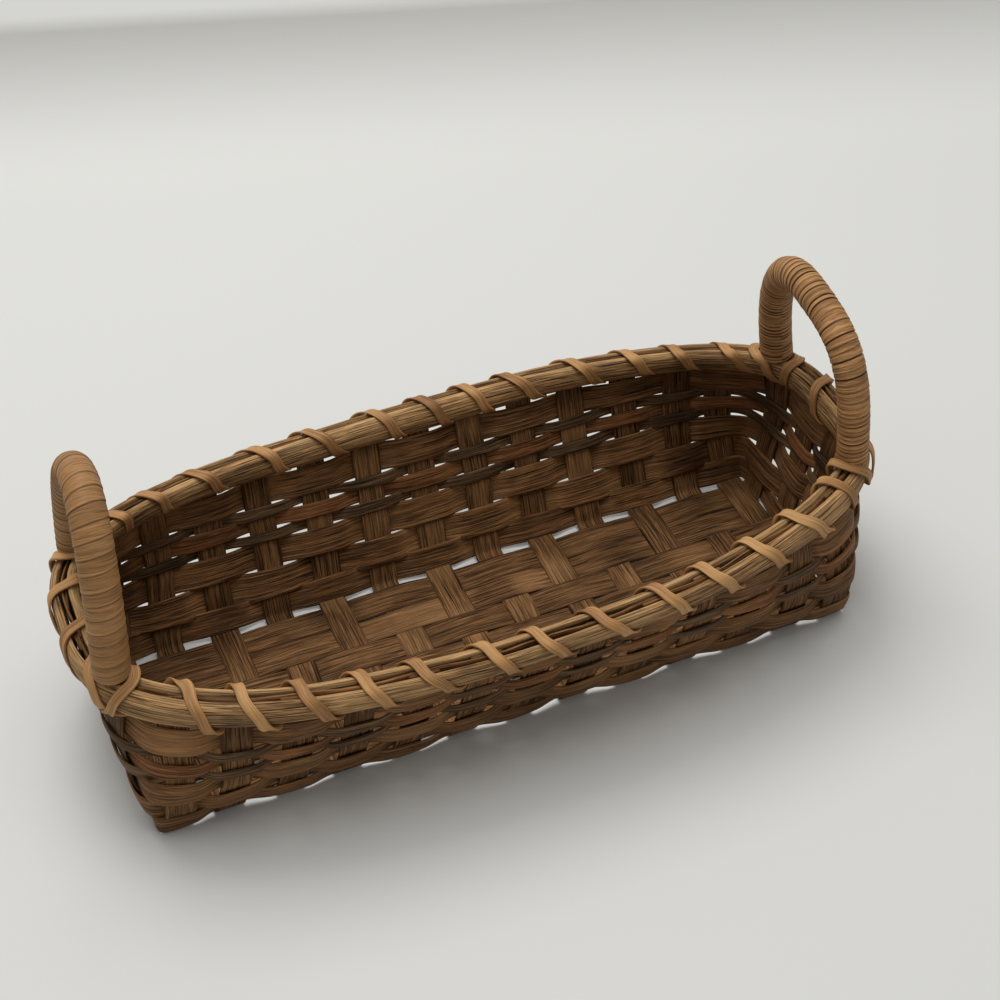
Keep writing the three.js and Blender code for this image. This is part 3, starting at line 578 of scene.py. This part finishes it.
# Weaver rows
# Flat reed woven in and out of the stakes, each row against the last: three wide rows, two narrow
# dark ones with a red-brown one between them, and a wide row under the rim.
WEAVE_REACH = 1.5
LOWEST_WEAVE_REACH = 0.95
WEAVE_ARCH = 0.14
EASIEST_HALF_GAP = 3.4
weaver_reed = reed_material(
    "stained_weaver", dark=(21, 12, 6), body=(136, 94, 57), pale=(182, 136, 88),
    streaks=0.6, cracks=0.85, stain=0.3, bump=1.0, specular=0.1,
)
dark_reed = reed_material(
    "dark_weaver", dark=(25, 16, 10), body=(112, 84, 58), pale=(156, 124, 88),
    streaks=0.6, cracks=0.75, stain=0.3, bump=1.0, specular=0.1,
)
red_reed = reed_material(
    "red_weaver", dark=(28, 15, 8), body=(144, 94, 56), pale=(184, 132, 84),
    streaks=0.55, cracks=0.75, stain=0.25, bump=1.0, specular=0.1,
)
wide_section = reed_section(1.0, 0.35)
narrow_section = reed_section(1.1, 0.2, 3)


def weave_offsets(row, at, places, total):
    """How far outwards a row lies at each length along the wall, as a share of its reach."""
    order = np.argsort(places)
    sorted_places = np.array(places)[order]
    extended = np.concatenate([[sorted_places[-1] - total], sorted_places, [sorted_places[0] + total]])
    sides = np.array([weaver_side(int(j), row) for j in order])
    sides = np.concatenate([[sides[-1]], sides, [sides[0]]])
    index = np.clip(np.searchsorted(extended, at) - 1, 0, len(extended) - 2)
    before, after = extended[index], extended[index + 1]
    middle = (before + after) / 2
    nearest = np.where(at < middle, index, index + 1)
    distance = np.abs(at - extended[nearest])
    half_gap = np.maximum((after - before - STAKE_WIDTH) / 2, EASIEST_HALF_GAP)
    plateau = (after - before) / 2 - half_gap
    share = np.clip((distance - plateau) / half_gap, 0, 1)
    arch = 1 + WEAVE_ARCH * (1 - np.clip(distance / np.maximum(plateau, 1), 0, 1) ** 2)
    return sides[nearest] * np.where(distance < plateau, arch, np.cos(share * math.pi / 2))


def stakes_at(level):
    """The wall's curve at a level, its stakes' places on it, and the same running on for one turn."""
    curve = wall_curve(level)
    places = [crossing_place(crossing, curve.level) for crossing in crossings]
    unwound = [places[0]]
    for place in places[1:] + [places[0] + curve.total]:
        unwound.append(unwound[-1] + (place - unwound[-1]) % curve.total)
    return curve, places, np.array(unwound)


def weave_row(node, row, reach, section, material, grain_from, looseness=1.0):
    """One closed row. Its lower and its upper edge follow the stakes at their own levels."""
    low, high = rows[row]
    rng = np.random.default_rng(300 + row)
    middle, places, unwound = stakes_at((low + high) / 2)
    count = int(middle.total)
    lengths = np.arange(count) * middle.total / count
    turns = np.arange(len(crossings) + 1)
    # The seam of the row lies inside a stake, where it doesn't show.
    to_hidden = unwound[1] - unwound[0] if weaver_side(0, row) > 0 else 0.0
    at_middle = unwound[0] + np.mod(lengths + to_hidden, middle.total)
    turn = np.interp(at_middle, unwound, turns)
    offsets = weave_offsets(row, np.mod(at_middle, middle.total), places, middle.total)
    wobbles = [wander(rng, lengths, 45, 0.28 * looseness, middle.total) for edge in ("low", "high")]
    lifts = [wander(rng, lengths, 60, 0.35 * looseness, middle.total) for edge in ("low", "high")]
    lines = []
    for level, wobble, lift in zip((low, high), wobbles, lifts):
        curve, places, unwound = stakes_at(level)
        points, out = curve.points(np.interp(turn, turns, unwound), reach * offsets + wobble)
        points[:, 2] += lift
        lines.append(smoothed(points, 1.0, 0.5 if row == 0 else 1.1, True))
    bottom, top = lines
    centre = (bottom + top) / 2
    half = (top - bottom) / 2
    run = unit(np.roll(centre, -1, 0) - np.roll(centre, 1, 0))
    up = unit(np.cross(run, half))
    patches = wander(rng, lengths, 50, 0.14, middle.total)
    # Painted shade where the row passes inside a stake, added to random patches of tone.
    tone = patches + 0.18 * np.clip(-offsets, 0, 1) + rng.uniform(-0.1, 0.1)
    # The row's edges get a faint painted highlight.
    piece = sweep("reed_" + node, centre, half, up, section, tone, grain_from, True, -0.1)
    finish_piece(piece, material, node)


for row in range(7):
    section, material, slot_name = wide_section, weaver_reed, "weaver_reed"
    if row in (3, 5):
        section, material, slot_name = narrow_section, dark_reed, "dark_weaver"
    elif row == 4:
        section, material, slot_name = narrow_section, red_reed, "red_weaver"
    reach = LOWEST_WEAVE_REACH if row == 0 else WEAVE_REACH
    weave_row("weaver_row_%d" % (row + 1), row, reach, section, material, 20 + row * 1.3)

# Rim row
# The last weaver, of the same wide flat reed, pulled tight and held between the two rim bands. Its
# top edge and the cut stake tips show in the gap.
RIM_ROW_REACH = 0.35
RIM_ROW_LOOSENESS = 0.25
weave_row("rim_row", 7, RIM_ROW_REACH, wide_section, weaver_reed, 31.0, RIM_ROW_LOOSENESS)

# Rim bands
# Flat oval reed, half an inch high, laid on both faces of the wall with its round side outwards, and
# held there by the lashing.
BAND_LOW = 63.8
BAND_TOP = 75.3
BAND_INSET_LOW = 1.3
BAND_INSET_TOP = 2.2
BAND_STEP = 1.6
rim_reed = reed_material(
    "rim_band", dark=(44, 28, 14), body=(180, 134, 85), pale=(226, 184, 128),
    streaks=0.7, cracks=1.0, stain=0.3, bump=1.0, specular=0.15,
)
round_side = [(1.0, 0.5), (0.985, 1.2), (0.93, 2.0), (0.8, 2.9), (0.6, 3.6), (0.33, 4.1)]
band_section = round_side + [(0.0, 4.3)] + [(-v, h) for v, h in round_side[::-1]]
band_section += [(v, 0.0) for v in (-0.96, -0.45, 0.0, 0.45, 0.96)]
low_curve, high_curve = wall_curve(BAND_LOW), wall_curve(BAND_TOP)
at = np.arange(int(high_curve.total / BAND_STEP)) / int(high_curve.total / BAND_STEP)
lengths = at * high_curve.total
# Painted highlights along both lips of each band, stronger on the inner band.
for node, side, painted_edge_shading, grain_from in (
    ("outer_rim_band", 1, -0.1, 41.0),
    ("inner_rim_band", -1, -0.35, 47.0),
):
    rng = np.random.default_rng(400 + side)
    bottom, out = low_curve.points(at * low_curve.total, side * BAND_INSET_LOW)
    top, out = high_curve.points(lengths, side * BAND_INSET_TOP)
    top[:, 2] += wander(rng, lengths, 70, 0.14, high_curve.total)
    bottom[:, 2] += wander(rng, lengths, 70, 0.22, high_curve.total)
    swing = wander(rng, lengths, 60, 0.12, high_curve.total)[:, None] * out
    centre = (bottom + top) / 2 + swing
    half = (top - bottom) / 2
    run = unit(np.roll(centre, -1, 0) - np.roll(centre, 1, 0))
    up = side * unit(np.cross(run, half))
    tone = wander(rng, lengths, 45, 0.12, high_curve.total)
    piece = sweep("reed_" + node, centre, half, up, band_section, tone, grain_from, True, painted_edge_shading)
    finish_piece(piece, rim_reed, node)

# Lashing
# Narrow tan cane wound round both bands, through the slot below them, once between any two stakes.
# At each handle's foot a second strand crosses it.
LASH_WIDTH = 4.8
LASH_THICKNESS = 1.0
LOOP_STEPS = 48
LOOP_DEPTH = 7.0
LOOP_DEPTH_RISE = 0.45
LOOP_ABOVE = 6.9
LOOP_BELOW = 6.2
LOOP_BELLY_RISE = 0.6
LOOP_ROUNDNESS = 0.66
BAND_MIDDLE = (RIM_LOW + RIM_TOP) / 2
lash_reed = reed_material(
    "tan_lashing", dark=(96, 60, 30), body=(182, 132, 80), pale=(214, 170, 112),
    streaks=0.45, cracks=0.4, stain=0.12, bump=0.6, specular=0.3,
)
lash_section = reed_section(LASH_THICKNESS, 0.15, 3)
rim_curve = wall_curve(RIM_TOP)


def loop_point(length, turn, belly):
    """A point of the section round both bands, by turn: 0 in the slot, a quarter inside, a half on top."""
    angle = -math.pi / 2 - turn * 2 * math.pi
    c, s = math.cos(angle), math.sin(angle)
    outwards = (LOOP_DEPTH + LOOP_DEPTH_RISE * s + belly) * math.copysign(abs(c) ** LOOP_ROUNDNESS, c)
    rise = LOOP_ABOVE + LOOP_BELLY_RISE * belly if s > 0 else -LOOP_BELOW
    level = BAND_MIDDLE + rise * abs(s) ** LOOP_ROUNDNESS
    low_curve = wall_curve(RIM_LOW)
    share = (level - RIM_LOW) / (RIM_TOP - RIM_LOW)
    high, out = rim_curve.points(np.array([length]), outwards)
    low = low_curve.points(np.array([length / rim_curve.total * low_curve.total]), outwards)[0]
    return (low + (high - low) * share)[0], out[0]


def lash_strand(node, stations, seed):
    """A strand through stations of turn, length along the rim, and how far it bellies out."""
    turns, lengths, bellies = np.array(stations, dtype=float).T
    fine = np.arange(turns[0], turns[-1] + 1e-6, 1 / LOOP_STEPS)
    stops = zip(np.interp(fine, turns, lengths), fine, np.interp(fine, turns, bellies))
    points, outs = zip(*(loop_point(length, turn, belly) for length, turn, belly in stops))
    points, outs = smoothed(np.array(points), 1.0, 0.9), np.array(outs)
    run = unit(np.gradient(points, axis=0))
    along = np.stack([-outs[:, 1], outs[:, 0], np.zeros(len(outs))], 1)
    edge = unit(along - run * (along * run).sum(1, keepdims=True))
    up = unit(np.cross(edge, run))
    rng = np.random.default_rng(int(seed * 10))
    steps = np.linalg.norm(np.diff(points, axis=0), axis=1)
    lengths_along = np.concatenate([[0], np.cumsum(steps)])
    half_width = LASH_WIDTH / 2 * (1 + wander(rng, lengths_along, 40, 0.05))
    tone = wander(rng, lengths_along, 45, 0.16)
    # The strand's edges get the default painted shade.
    piece = sweep("cane_" + node, points, edge * half_width[:, None], up, lash_section, tone, seed)
    finish_piece(piece, lash_reed, node)


# Where the strand lies on top of the rim: x on the long sides, and y at the ends. At a handle's leg
# it lies a little before the leg.
front_wraps = [-133.5, -115.5, -93.5, -70, -48, -20, 0.5, 26, 54, 75.5, 98.5, 120.5, 143.5]
rear_wraps = [144, 124.5, 104.4, 80, 49.5, 29.5, 9.1, -13.5, -44.2, -68.6, -98.5, -120.6, -137]
right_wraps = [-17, 8]
left_wraps = [17, -8]
right_feet = (-38.5, 33.8)
left_feet = (39.5, -36.2)
LEG_CLEAR = 10.6
NEAR_LEG_CLEAR = 8.6
NEAR_LEG_BELLY = 2.2
TIE_BELLY = 0.6
SLOT_SHARE = 0.56
right_legs = [rim_curve.end_place(y, 1) for y in right_feet]
left_legs = [rim_curve.end_place(y, -1) for y in left_feet]
wraps = [(rim_curve.side_place(x, -1), None) for x in front_wraps]
wraps.append((right_legs[0] - NEAR_LEG_CLEAR, right_legs[0]))
wraps += [(rim_curve.end_place(y, 1), None) for y in right_wraps]
wraps.append((right_legs[1] - LEG_CLEAR, right_legs[1]))
wraps += [(rim_curve.side_place(x, 1), None) for x in rear_wraps]
wraps.append((left_legs[0] - LEG_CLEAR, left_legs[0]))
wraps += [(rim_curve.end_place(y, -1), None) for y in left_wraps]
wraps.append((left_legs[1] - LEG_CLEAR, left_legs[1]))
wraps = sorted(((length % rim_curve.total, leg) for length, leg in wraps), key=lambda wrap: wrap[0])


def slot_after(i):
    """Where the strand passes the slot between wrap i and the next one."""
    here, there = wraps[i % len(wraps)][0], wraps[(i + 1) % len(wraps)][0]
    lap = (i // len(wraps)) * rim_curve.total
    return here + ((there - here) % rim_curve.total) * SLOT_SHARE + lap


def strand_between(first, last):
    """Stations of the wraps from the first up to the last. At a leg the strand slants across it."""
    stations = []
    for i in range(first, last):
        lap = (i // len(wraps)) * rim_curve.total
        top, leg = wraps[i % len(wraps)]
        start = slot_after(i - 1) if leg is None else leg + lap - 8
        end = slot_after(i) if leg is None else leg + lap + 3
        belly = NEAR_LEG_BELLY if leg == right_legs[0] else 0
        turn = i - first
        stations += [(turn + 0.06, start, 0), (turn + 0.5, top + lap, belly), (turn + 0.94, end, 0)]
    return stations


FIRST_REAR_WRAP = 9
FIRST_FRONT_WRAP = FIRST_REAR_WRAP + len(wraps) // 2
lash_strand("front_lashing", strand_between(FIRST_FRONT_WRAP, FIRST_REAR_WRAP + len(wraps)), 51.0)
lash_strand("rear_lashing", strand_between(FIRST_REAR_WRAP, FIRST_FRONT_WRAP), 53.0)

corners = ("right_front", "right_rear", "left_rear", "left_front")
for number, (leg, corner) in enumerate(zip(right_legs + left_legs, corners)):
    clear, belly = (NEAR_LEG_CLEAR, NEAR_LEG_BELLY) if leg == left_legs[0] else (LEG_CLEAR, TIE_BELLY)
    stations = [(0.06, leg - 7, 1.0), (0.5, leg + clear, belly), (0.94, leg + 1, 0.9)]
    lash_strand(corner + "_handle_tie", stations, 55.0 + number)

# Handles
# A bent rod in each end, its flattened feet between the rim bands, closely wound with tan cane.
# The left one stands higher, and its wrap is wider and more even than the right one's.
rod_reed = reed_material(
    "handle_rod", dark=(36, 23, 13), body=(104, 74, 44), pale=(146, 108, 70),
    streaks=0.5, cracks=0.6, stain=0.3, bump=0.6, specular=0.1,
)
left_cane = reed_material(
    "left_handle_cane", dark=(58, 36, 18), body=(158, 115, 71), pale=(200, 160, 108),
    streaks=0.3, cracks=0.25, stain=0.05, bump=0.45, specular=0.2,
)
right_cane = reed_material(
    "right_handle_cane", dark=(38, 22, 11), body=(176, 125, 77), pale=(214, 170, 114),
    streaks=0.4, cracks=0.4, stain=0.1, bump=0.8, specular=0.2,
)
FOOT_STEPS = 8
FOOT_HALF_WIDTH = 6.2
FOOT_HALF_THICKNESS = 1.9
FOOT_FADE = 5
WRAP_SIDES = 40
WRAP_MAP_RADIUS = 6.8
WRAP_GRAIN_SHIFT = 0.0431
WRAP_GRAIN_SLANT = 0.003


def foot_place(y, side, level=RIM_TOP):
    """A foot's point in the wall at a level, and the level direction outwards there."""
    curve = wall_curve(level)
    length = rim_curve.end_place(y, side) / rim_curve.total * curve.total
    points, out = curve.points(np.array([length]))
    return points[0], out[0]


def bow_line(spacing, side, rear_y, front_y, height, rear_squareness, front_squareness, lean, twist, skew):
    """A handle's middle line from its rear foot to its front foot, and its plane's normal."""
    rear, front = foot_place(rear_y, side)[0], foot_place(front_y, side)[0]
    bent = np.linspace(0, math.pi, 4001)
    slant = np.where(np.cos(bent) > 0, 2 / rear_squareness, 2 / front_squareness)
    along = np.sign(np.cos(bent)) * np.abs(np.cos(bent)) ** slant
    rise = np.abs(np.sin(bent)) ** slant
    line = front + (rear - front) * ((along + 1) / 2)[:, None]
    line[:, 0] -= side * (lean + twist * along) * rise
    line[:, 2] += height * rise * (1 + skew * along)
    steps = np.concatenate([[0], np.cumsum(np.linalg.norm(np.diff(line, axis=0), axis=1))])
    even = np.linspace(0, steps[-1], int(steps[-1] / spacing))
    line = np.stack([np.interp(even, steps, line[:, i]) for i in range(3)], 1)
    top = line[len(line) // 2]
    return smoothed(line, spacing, 1.0), even, unit(np.cross(rear - front, top - (rear + front) / 2))


def bent_rod(name, bow, rod_radius, node, grain_from):
    """The rod inside a handle: round above the rim, and flattened where its feet stand in the rim."""
    line, at, normal = bow_line(1.0, **bow)
    run = unit(np.gradient(line, axis=0))
    inward = unit(np.cross(normal[None, :], run))
    down = np.linspace(0, 1, FOOT_STEPS)[:, None]
    legs, widths = [], []
    for y, facing in ((bow["rear_y"], inward[0]), (bow["front_y"], inward[-1])):
        top, out = foot_place(y, bow["side"])
        low = foot_place(y, bow["side"], RIM_LOW + 1)[0]
        edge = np.array([-out[1], out[0], 0.0])
        legs.append((top, low))
        widths.append(np.tile(edge if edge @ facing > 0 else -edge, (FOOT_STEPS - 1, 1)))
    rear_leg = legs[0][1] + (legs[0][0] - legs[0][1]) * down
    front_leg = legs[1][0] + (legs[1][1] - legs[1][0]) * down
    centre = smoothed(np.concatenate([rear_leg[:-1], line, front_leg[1:]]), 1.0, 1.5)
    half = unit(smoothed(np.concatenate([widths[0], inward, widths[1]]), 1.0, 2.0))
    up = unit(np.cross(unit(np.gradient(centre, axis=0)), half))
    above = np.minimum(np.arange(len(centre)), np.arange(len(centre))[::-1]) - FOOT_STEPS
    flat = np.clip(1 - above / FOOT_FADE, 0, 1)[:, None]
    wide = rod_radius + (FOOT_HALF_WIDTH - rod_radius) * flat
    thick = rod_radius + (FOOT_HALF_THICKNESS - rod_radius) * flat
    circle = [(math.cos(a), math.sin(a)) for a in np.linspace(0, 2 * math.pi, 20, endpoint=False)]
    piece = sweep(name, centre, half * wide, up * thick, circle, 0.1, grain_from, painted_edge_shading=0.0)
    finish_piece(piece, rod_reed, node)


def wound_handle(name, bow, material, node, seed, girth, taper, turn_at, turn_width, groove, overlap,
                 unevenness, jitter, painted_seam_shade, seam_width, open_seams):
    """The cane wound on a handle: a tube whose radius dips at each seam between two turns, with painted
    shade in the seams and a painted highlight along each turn.
    """
    line, at, normal = bow_line(0.2, **bow)
    rng = np.random.default_rng(int(seed * 10))
    run = unit(np.gradient(line, axis=0))
    inward = unit(np.cross(normal[None, :], run))
    pitch = np.interp(at / at[-1], turn_at, turn_width)
    turns = np.concatenate([[0], np.cumsum(1 / pitch[:-1] * np.diff(at))])
    whole = int(turns[-1]) + 3
    edges = np.arange(whole) + rng.uniform(-jitter, jitter, whole)
    is_open = rng.random(whole) < open_seams
    open_depth = rng.uniform(0.8, 1.3, whole)
    closed_depth = rng.uniform(0.15, 0.45, whole)
    depth = np.where(is_open, open_depth, closed_depth)
    angle = np.linspace(0, 2 * math.pi, WRAP_SIDES, endpoint=False)
    phase = turns[:, None] - angle[None, :] / (2 * math.pi) + 0.04 * np.sin(angle + 0.6)[None, :] + 1
    index = np.clip(np.searchsorted(edges, phase.ravel()) - 1, 0, whole - 2).reshape(phase.shape)
    share = (phase - edges[index]) / (edges[index + 1] - edges[index])
    plump = rng.uniform(-1, 1, whole)[index] * unevenness
    width = pitch[:, None]
    from_seam = np.minimum(share, 1 - share) * width
    nearest = np.where(share < 0.5, index, index + 1)
    dip = groove * depth[nearest] * np.exp(-((from_seam / 0.3) ** 2))
    narrowing = taper * (0.5 - np.linspace(0, 1, len(line)))[:, None]
    radius = girth + narrowing + plump + overlap * (share - 0.5) - dip
    to_side = inward[:, None, :] * np.cos(angle)[None, :, None]
    to_side = to_side + normal[None, None, :] * np.sin(angle)[None, :, None]
    rings = line[:, None, :] + radius[:, :, None] * to_side
    # The cane's grain runs round the rod, so the map's length goes with the angle.
    round_rod = np.linspace(0, 2 * math.pi, WRAP_SIDES + 1)[None, :]
    lengthwise = round_rod * WRAP_MAP_RADIUS * MM + (turns * WRAP_GRAIN_SHIFT)[:, None] + seed
    across = (at * MM)[:, None] - round_rod / (2 * math.pi) * WRAP_GRAIN_SLANT
    shade = rng.uniform(-0.12, 0.12, whole)[index]
    # Painted shade in the seams between turns.
    shade = shade + painted_seam_shade * depth[nearest] * np.exp(-((from_seam / seam_width) ** 2))
    # A painted highlight along each turn, 0.7 mm before its seam.
    shade = shade - 0.25 * np.exp(-(((1 - share) * width - 0.7) / 0.35) ** 2)
    piece = reed_piece(name, rings, np.stack([lengthwise, across], -1), shade)
    finish_piece(piece, material, node)


left_bow = {
    "side": -1, "rear_y": left_feet[0], "front_y": left_feet[1], "height": 63.8,
    "rear_squareness": 2.64, "front_squareness": 1.8, "lean": 6.5, "twist": -1.2, "skew": -0.176,
}
right_bow = {
    "side": 1, "rear_y": right_feet[1], "front_y": right_feet[0], "height": 60.9,
    "rear_squareness": 2.3, "front_squareness": 3.5, "lean": 5.1, "twist": 2.8, "skew": 0.11,
}
wound_handle(
    "cane_left_handle", left_bow, left_cane, "left_handle_wrap", 61.0, girth=7.5, taper=0.0,
    turn_at=[0, 0.3, 0.45, 0.55, 0.7, 0.85, 1.0], turn_width=[3.8, 3.8, 4.4, 5.4, 5.9, 5.2, 4.2],
    groove=0.16, overlap=0.3, unevenness=0.03, jitter=0.14,
    painted_seam_shade=0.55, seam_width=0.18, open_seams=0.9,
)
wound_handle(
    "cane_right_handle", right_bow, right_cane, "right_handle_wrap", 67.0, girth=7.05, taper=0.7,
    turn_at=[0, 0.3, 0.5, 0.7, 1.0], turn_width=[2.1, 2.1, 2.6, 2.5, 2.1],
    groove=0.5, overlap=0.15, unevenness=0.08, jitter=0.22,
    painted_seam_shade=1.1, seam_width=0.3, open_seams=0.4,
)
bent_rod("rod_left_handle", left_bow, 5.6, "left_handle_core", 71.0)
bent_rod("rod_right_handle", right_bow, 4.9, "right_handle_core", 73.0)

# Floor and light
# A pale grey floor that bends up to a low ledge behind, turned to face the camera. One big soft light
# hangs behind the basket and one above it, in a dim and even surround.
LEDGE_AT = 0.40
LEDGE_BEND = 0.08
FLOOR_REACH = 4.0
bend = np.linspace(0, math.radians(82), 12)
floor_y = [-3.0, *(LEDGE_AT + LEDGE_BEND * np.sin(bend)), FLOOR_REACH]
floor_z = [0.0, *(LEDGE_BEND * (1 - np.cos(bend))), LEDGE_BEND]
floor_points = []
for y, z in zip(floor_y, floor_z):
    floor_points += [(-FLOOR_REACH, y, z), (FLOOR_REACH, y, z)]
floor_faces = [(2 * i, 2 * i + 1, 2 * i + 3, 2 * i + 2) for i in range(len(floor_y) - 1)]
floor_mesh = bpy.data.meshes.new("floor")
floor_mesh.from_pydata(floor_points, [], floor_faces)
floor_mesh.polygons.foreach_set("use_smooth", np.ones(len(floor_mesh.polygons), dtype=bool))
floor = bpy.data.objects.new("floor", floor_mesh)
bpy.context.scene.collection.objects.link(floor)
floor.rotation_euler = (0, 0, -camera_yaw)
floor_paint = bpy.data.materials.new("pale_floor")
floor_paint.use_nodes = True
floor_shader = floor_paint.node_tree.nodes["Principled BSDF"]
floor_shader.inputs["Base Color"].default_value = (0.64, 0.64, 0.616, 1)
floor_shader.inputs["Roughness"].default_value = 0.6
floor_shader.inputs["Specular IOR Level"].default_value = 0.2
floor_mesh.materials.append(floor_paint)

world = bpy.data.worlds.new("studio")
bpy.context.scene.world = world
world.use_nodes = True
surround = world.node_tree.nodes["Background"]
surround.inputs["Color"].default_value = (1.0, 0.99, 0.97, 1)
surround.inputs["Strength"].default_value = 0.4


def soft_light(name, stand, size, power):
    """A round lamp that faces the basket."""
    lamp = bpy.data.lights.new(name, "AREA")
    lamp.shape = "DISK"
    lamp.size = size
    lamp.energy = power
    holder = bpy.data.objects.new(name, lamp)
    bpy.context.scene.collection.objects.link(holder)
    holder.location = stand
    back = unit(np.array(stand) - np.array([0.0, 0.0, 0.05]))
    side = unit(np.cross(np.array([0.0, 1.0, 0.001]), back))
    axes = np.column_stack([side, np.cross(back, side), back])
    holder.rotation_euler = Matrix(axes.tolist()).to_euler()


soft_light("window", (-0.12, 0.65, 1.5), 1.0, 13)
soft_light("ceiling", (0.05, -0.15, 1.9), 1.3, 12.5)

bpy.context.scene.view_settings.view_transform = "Standard"
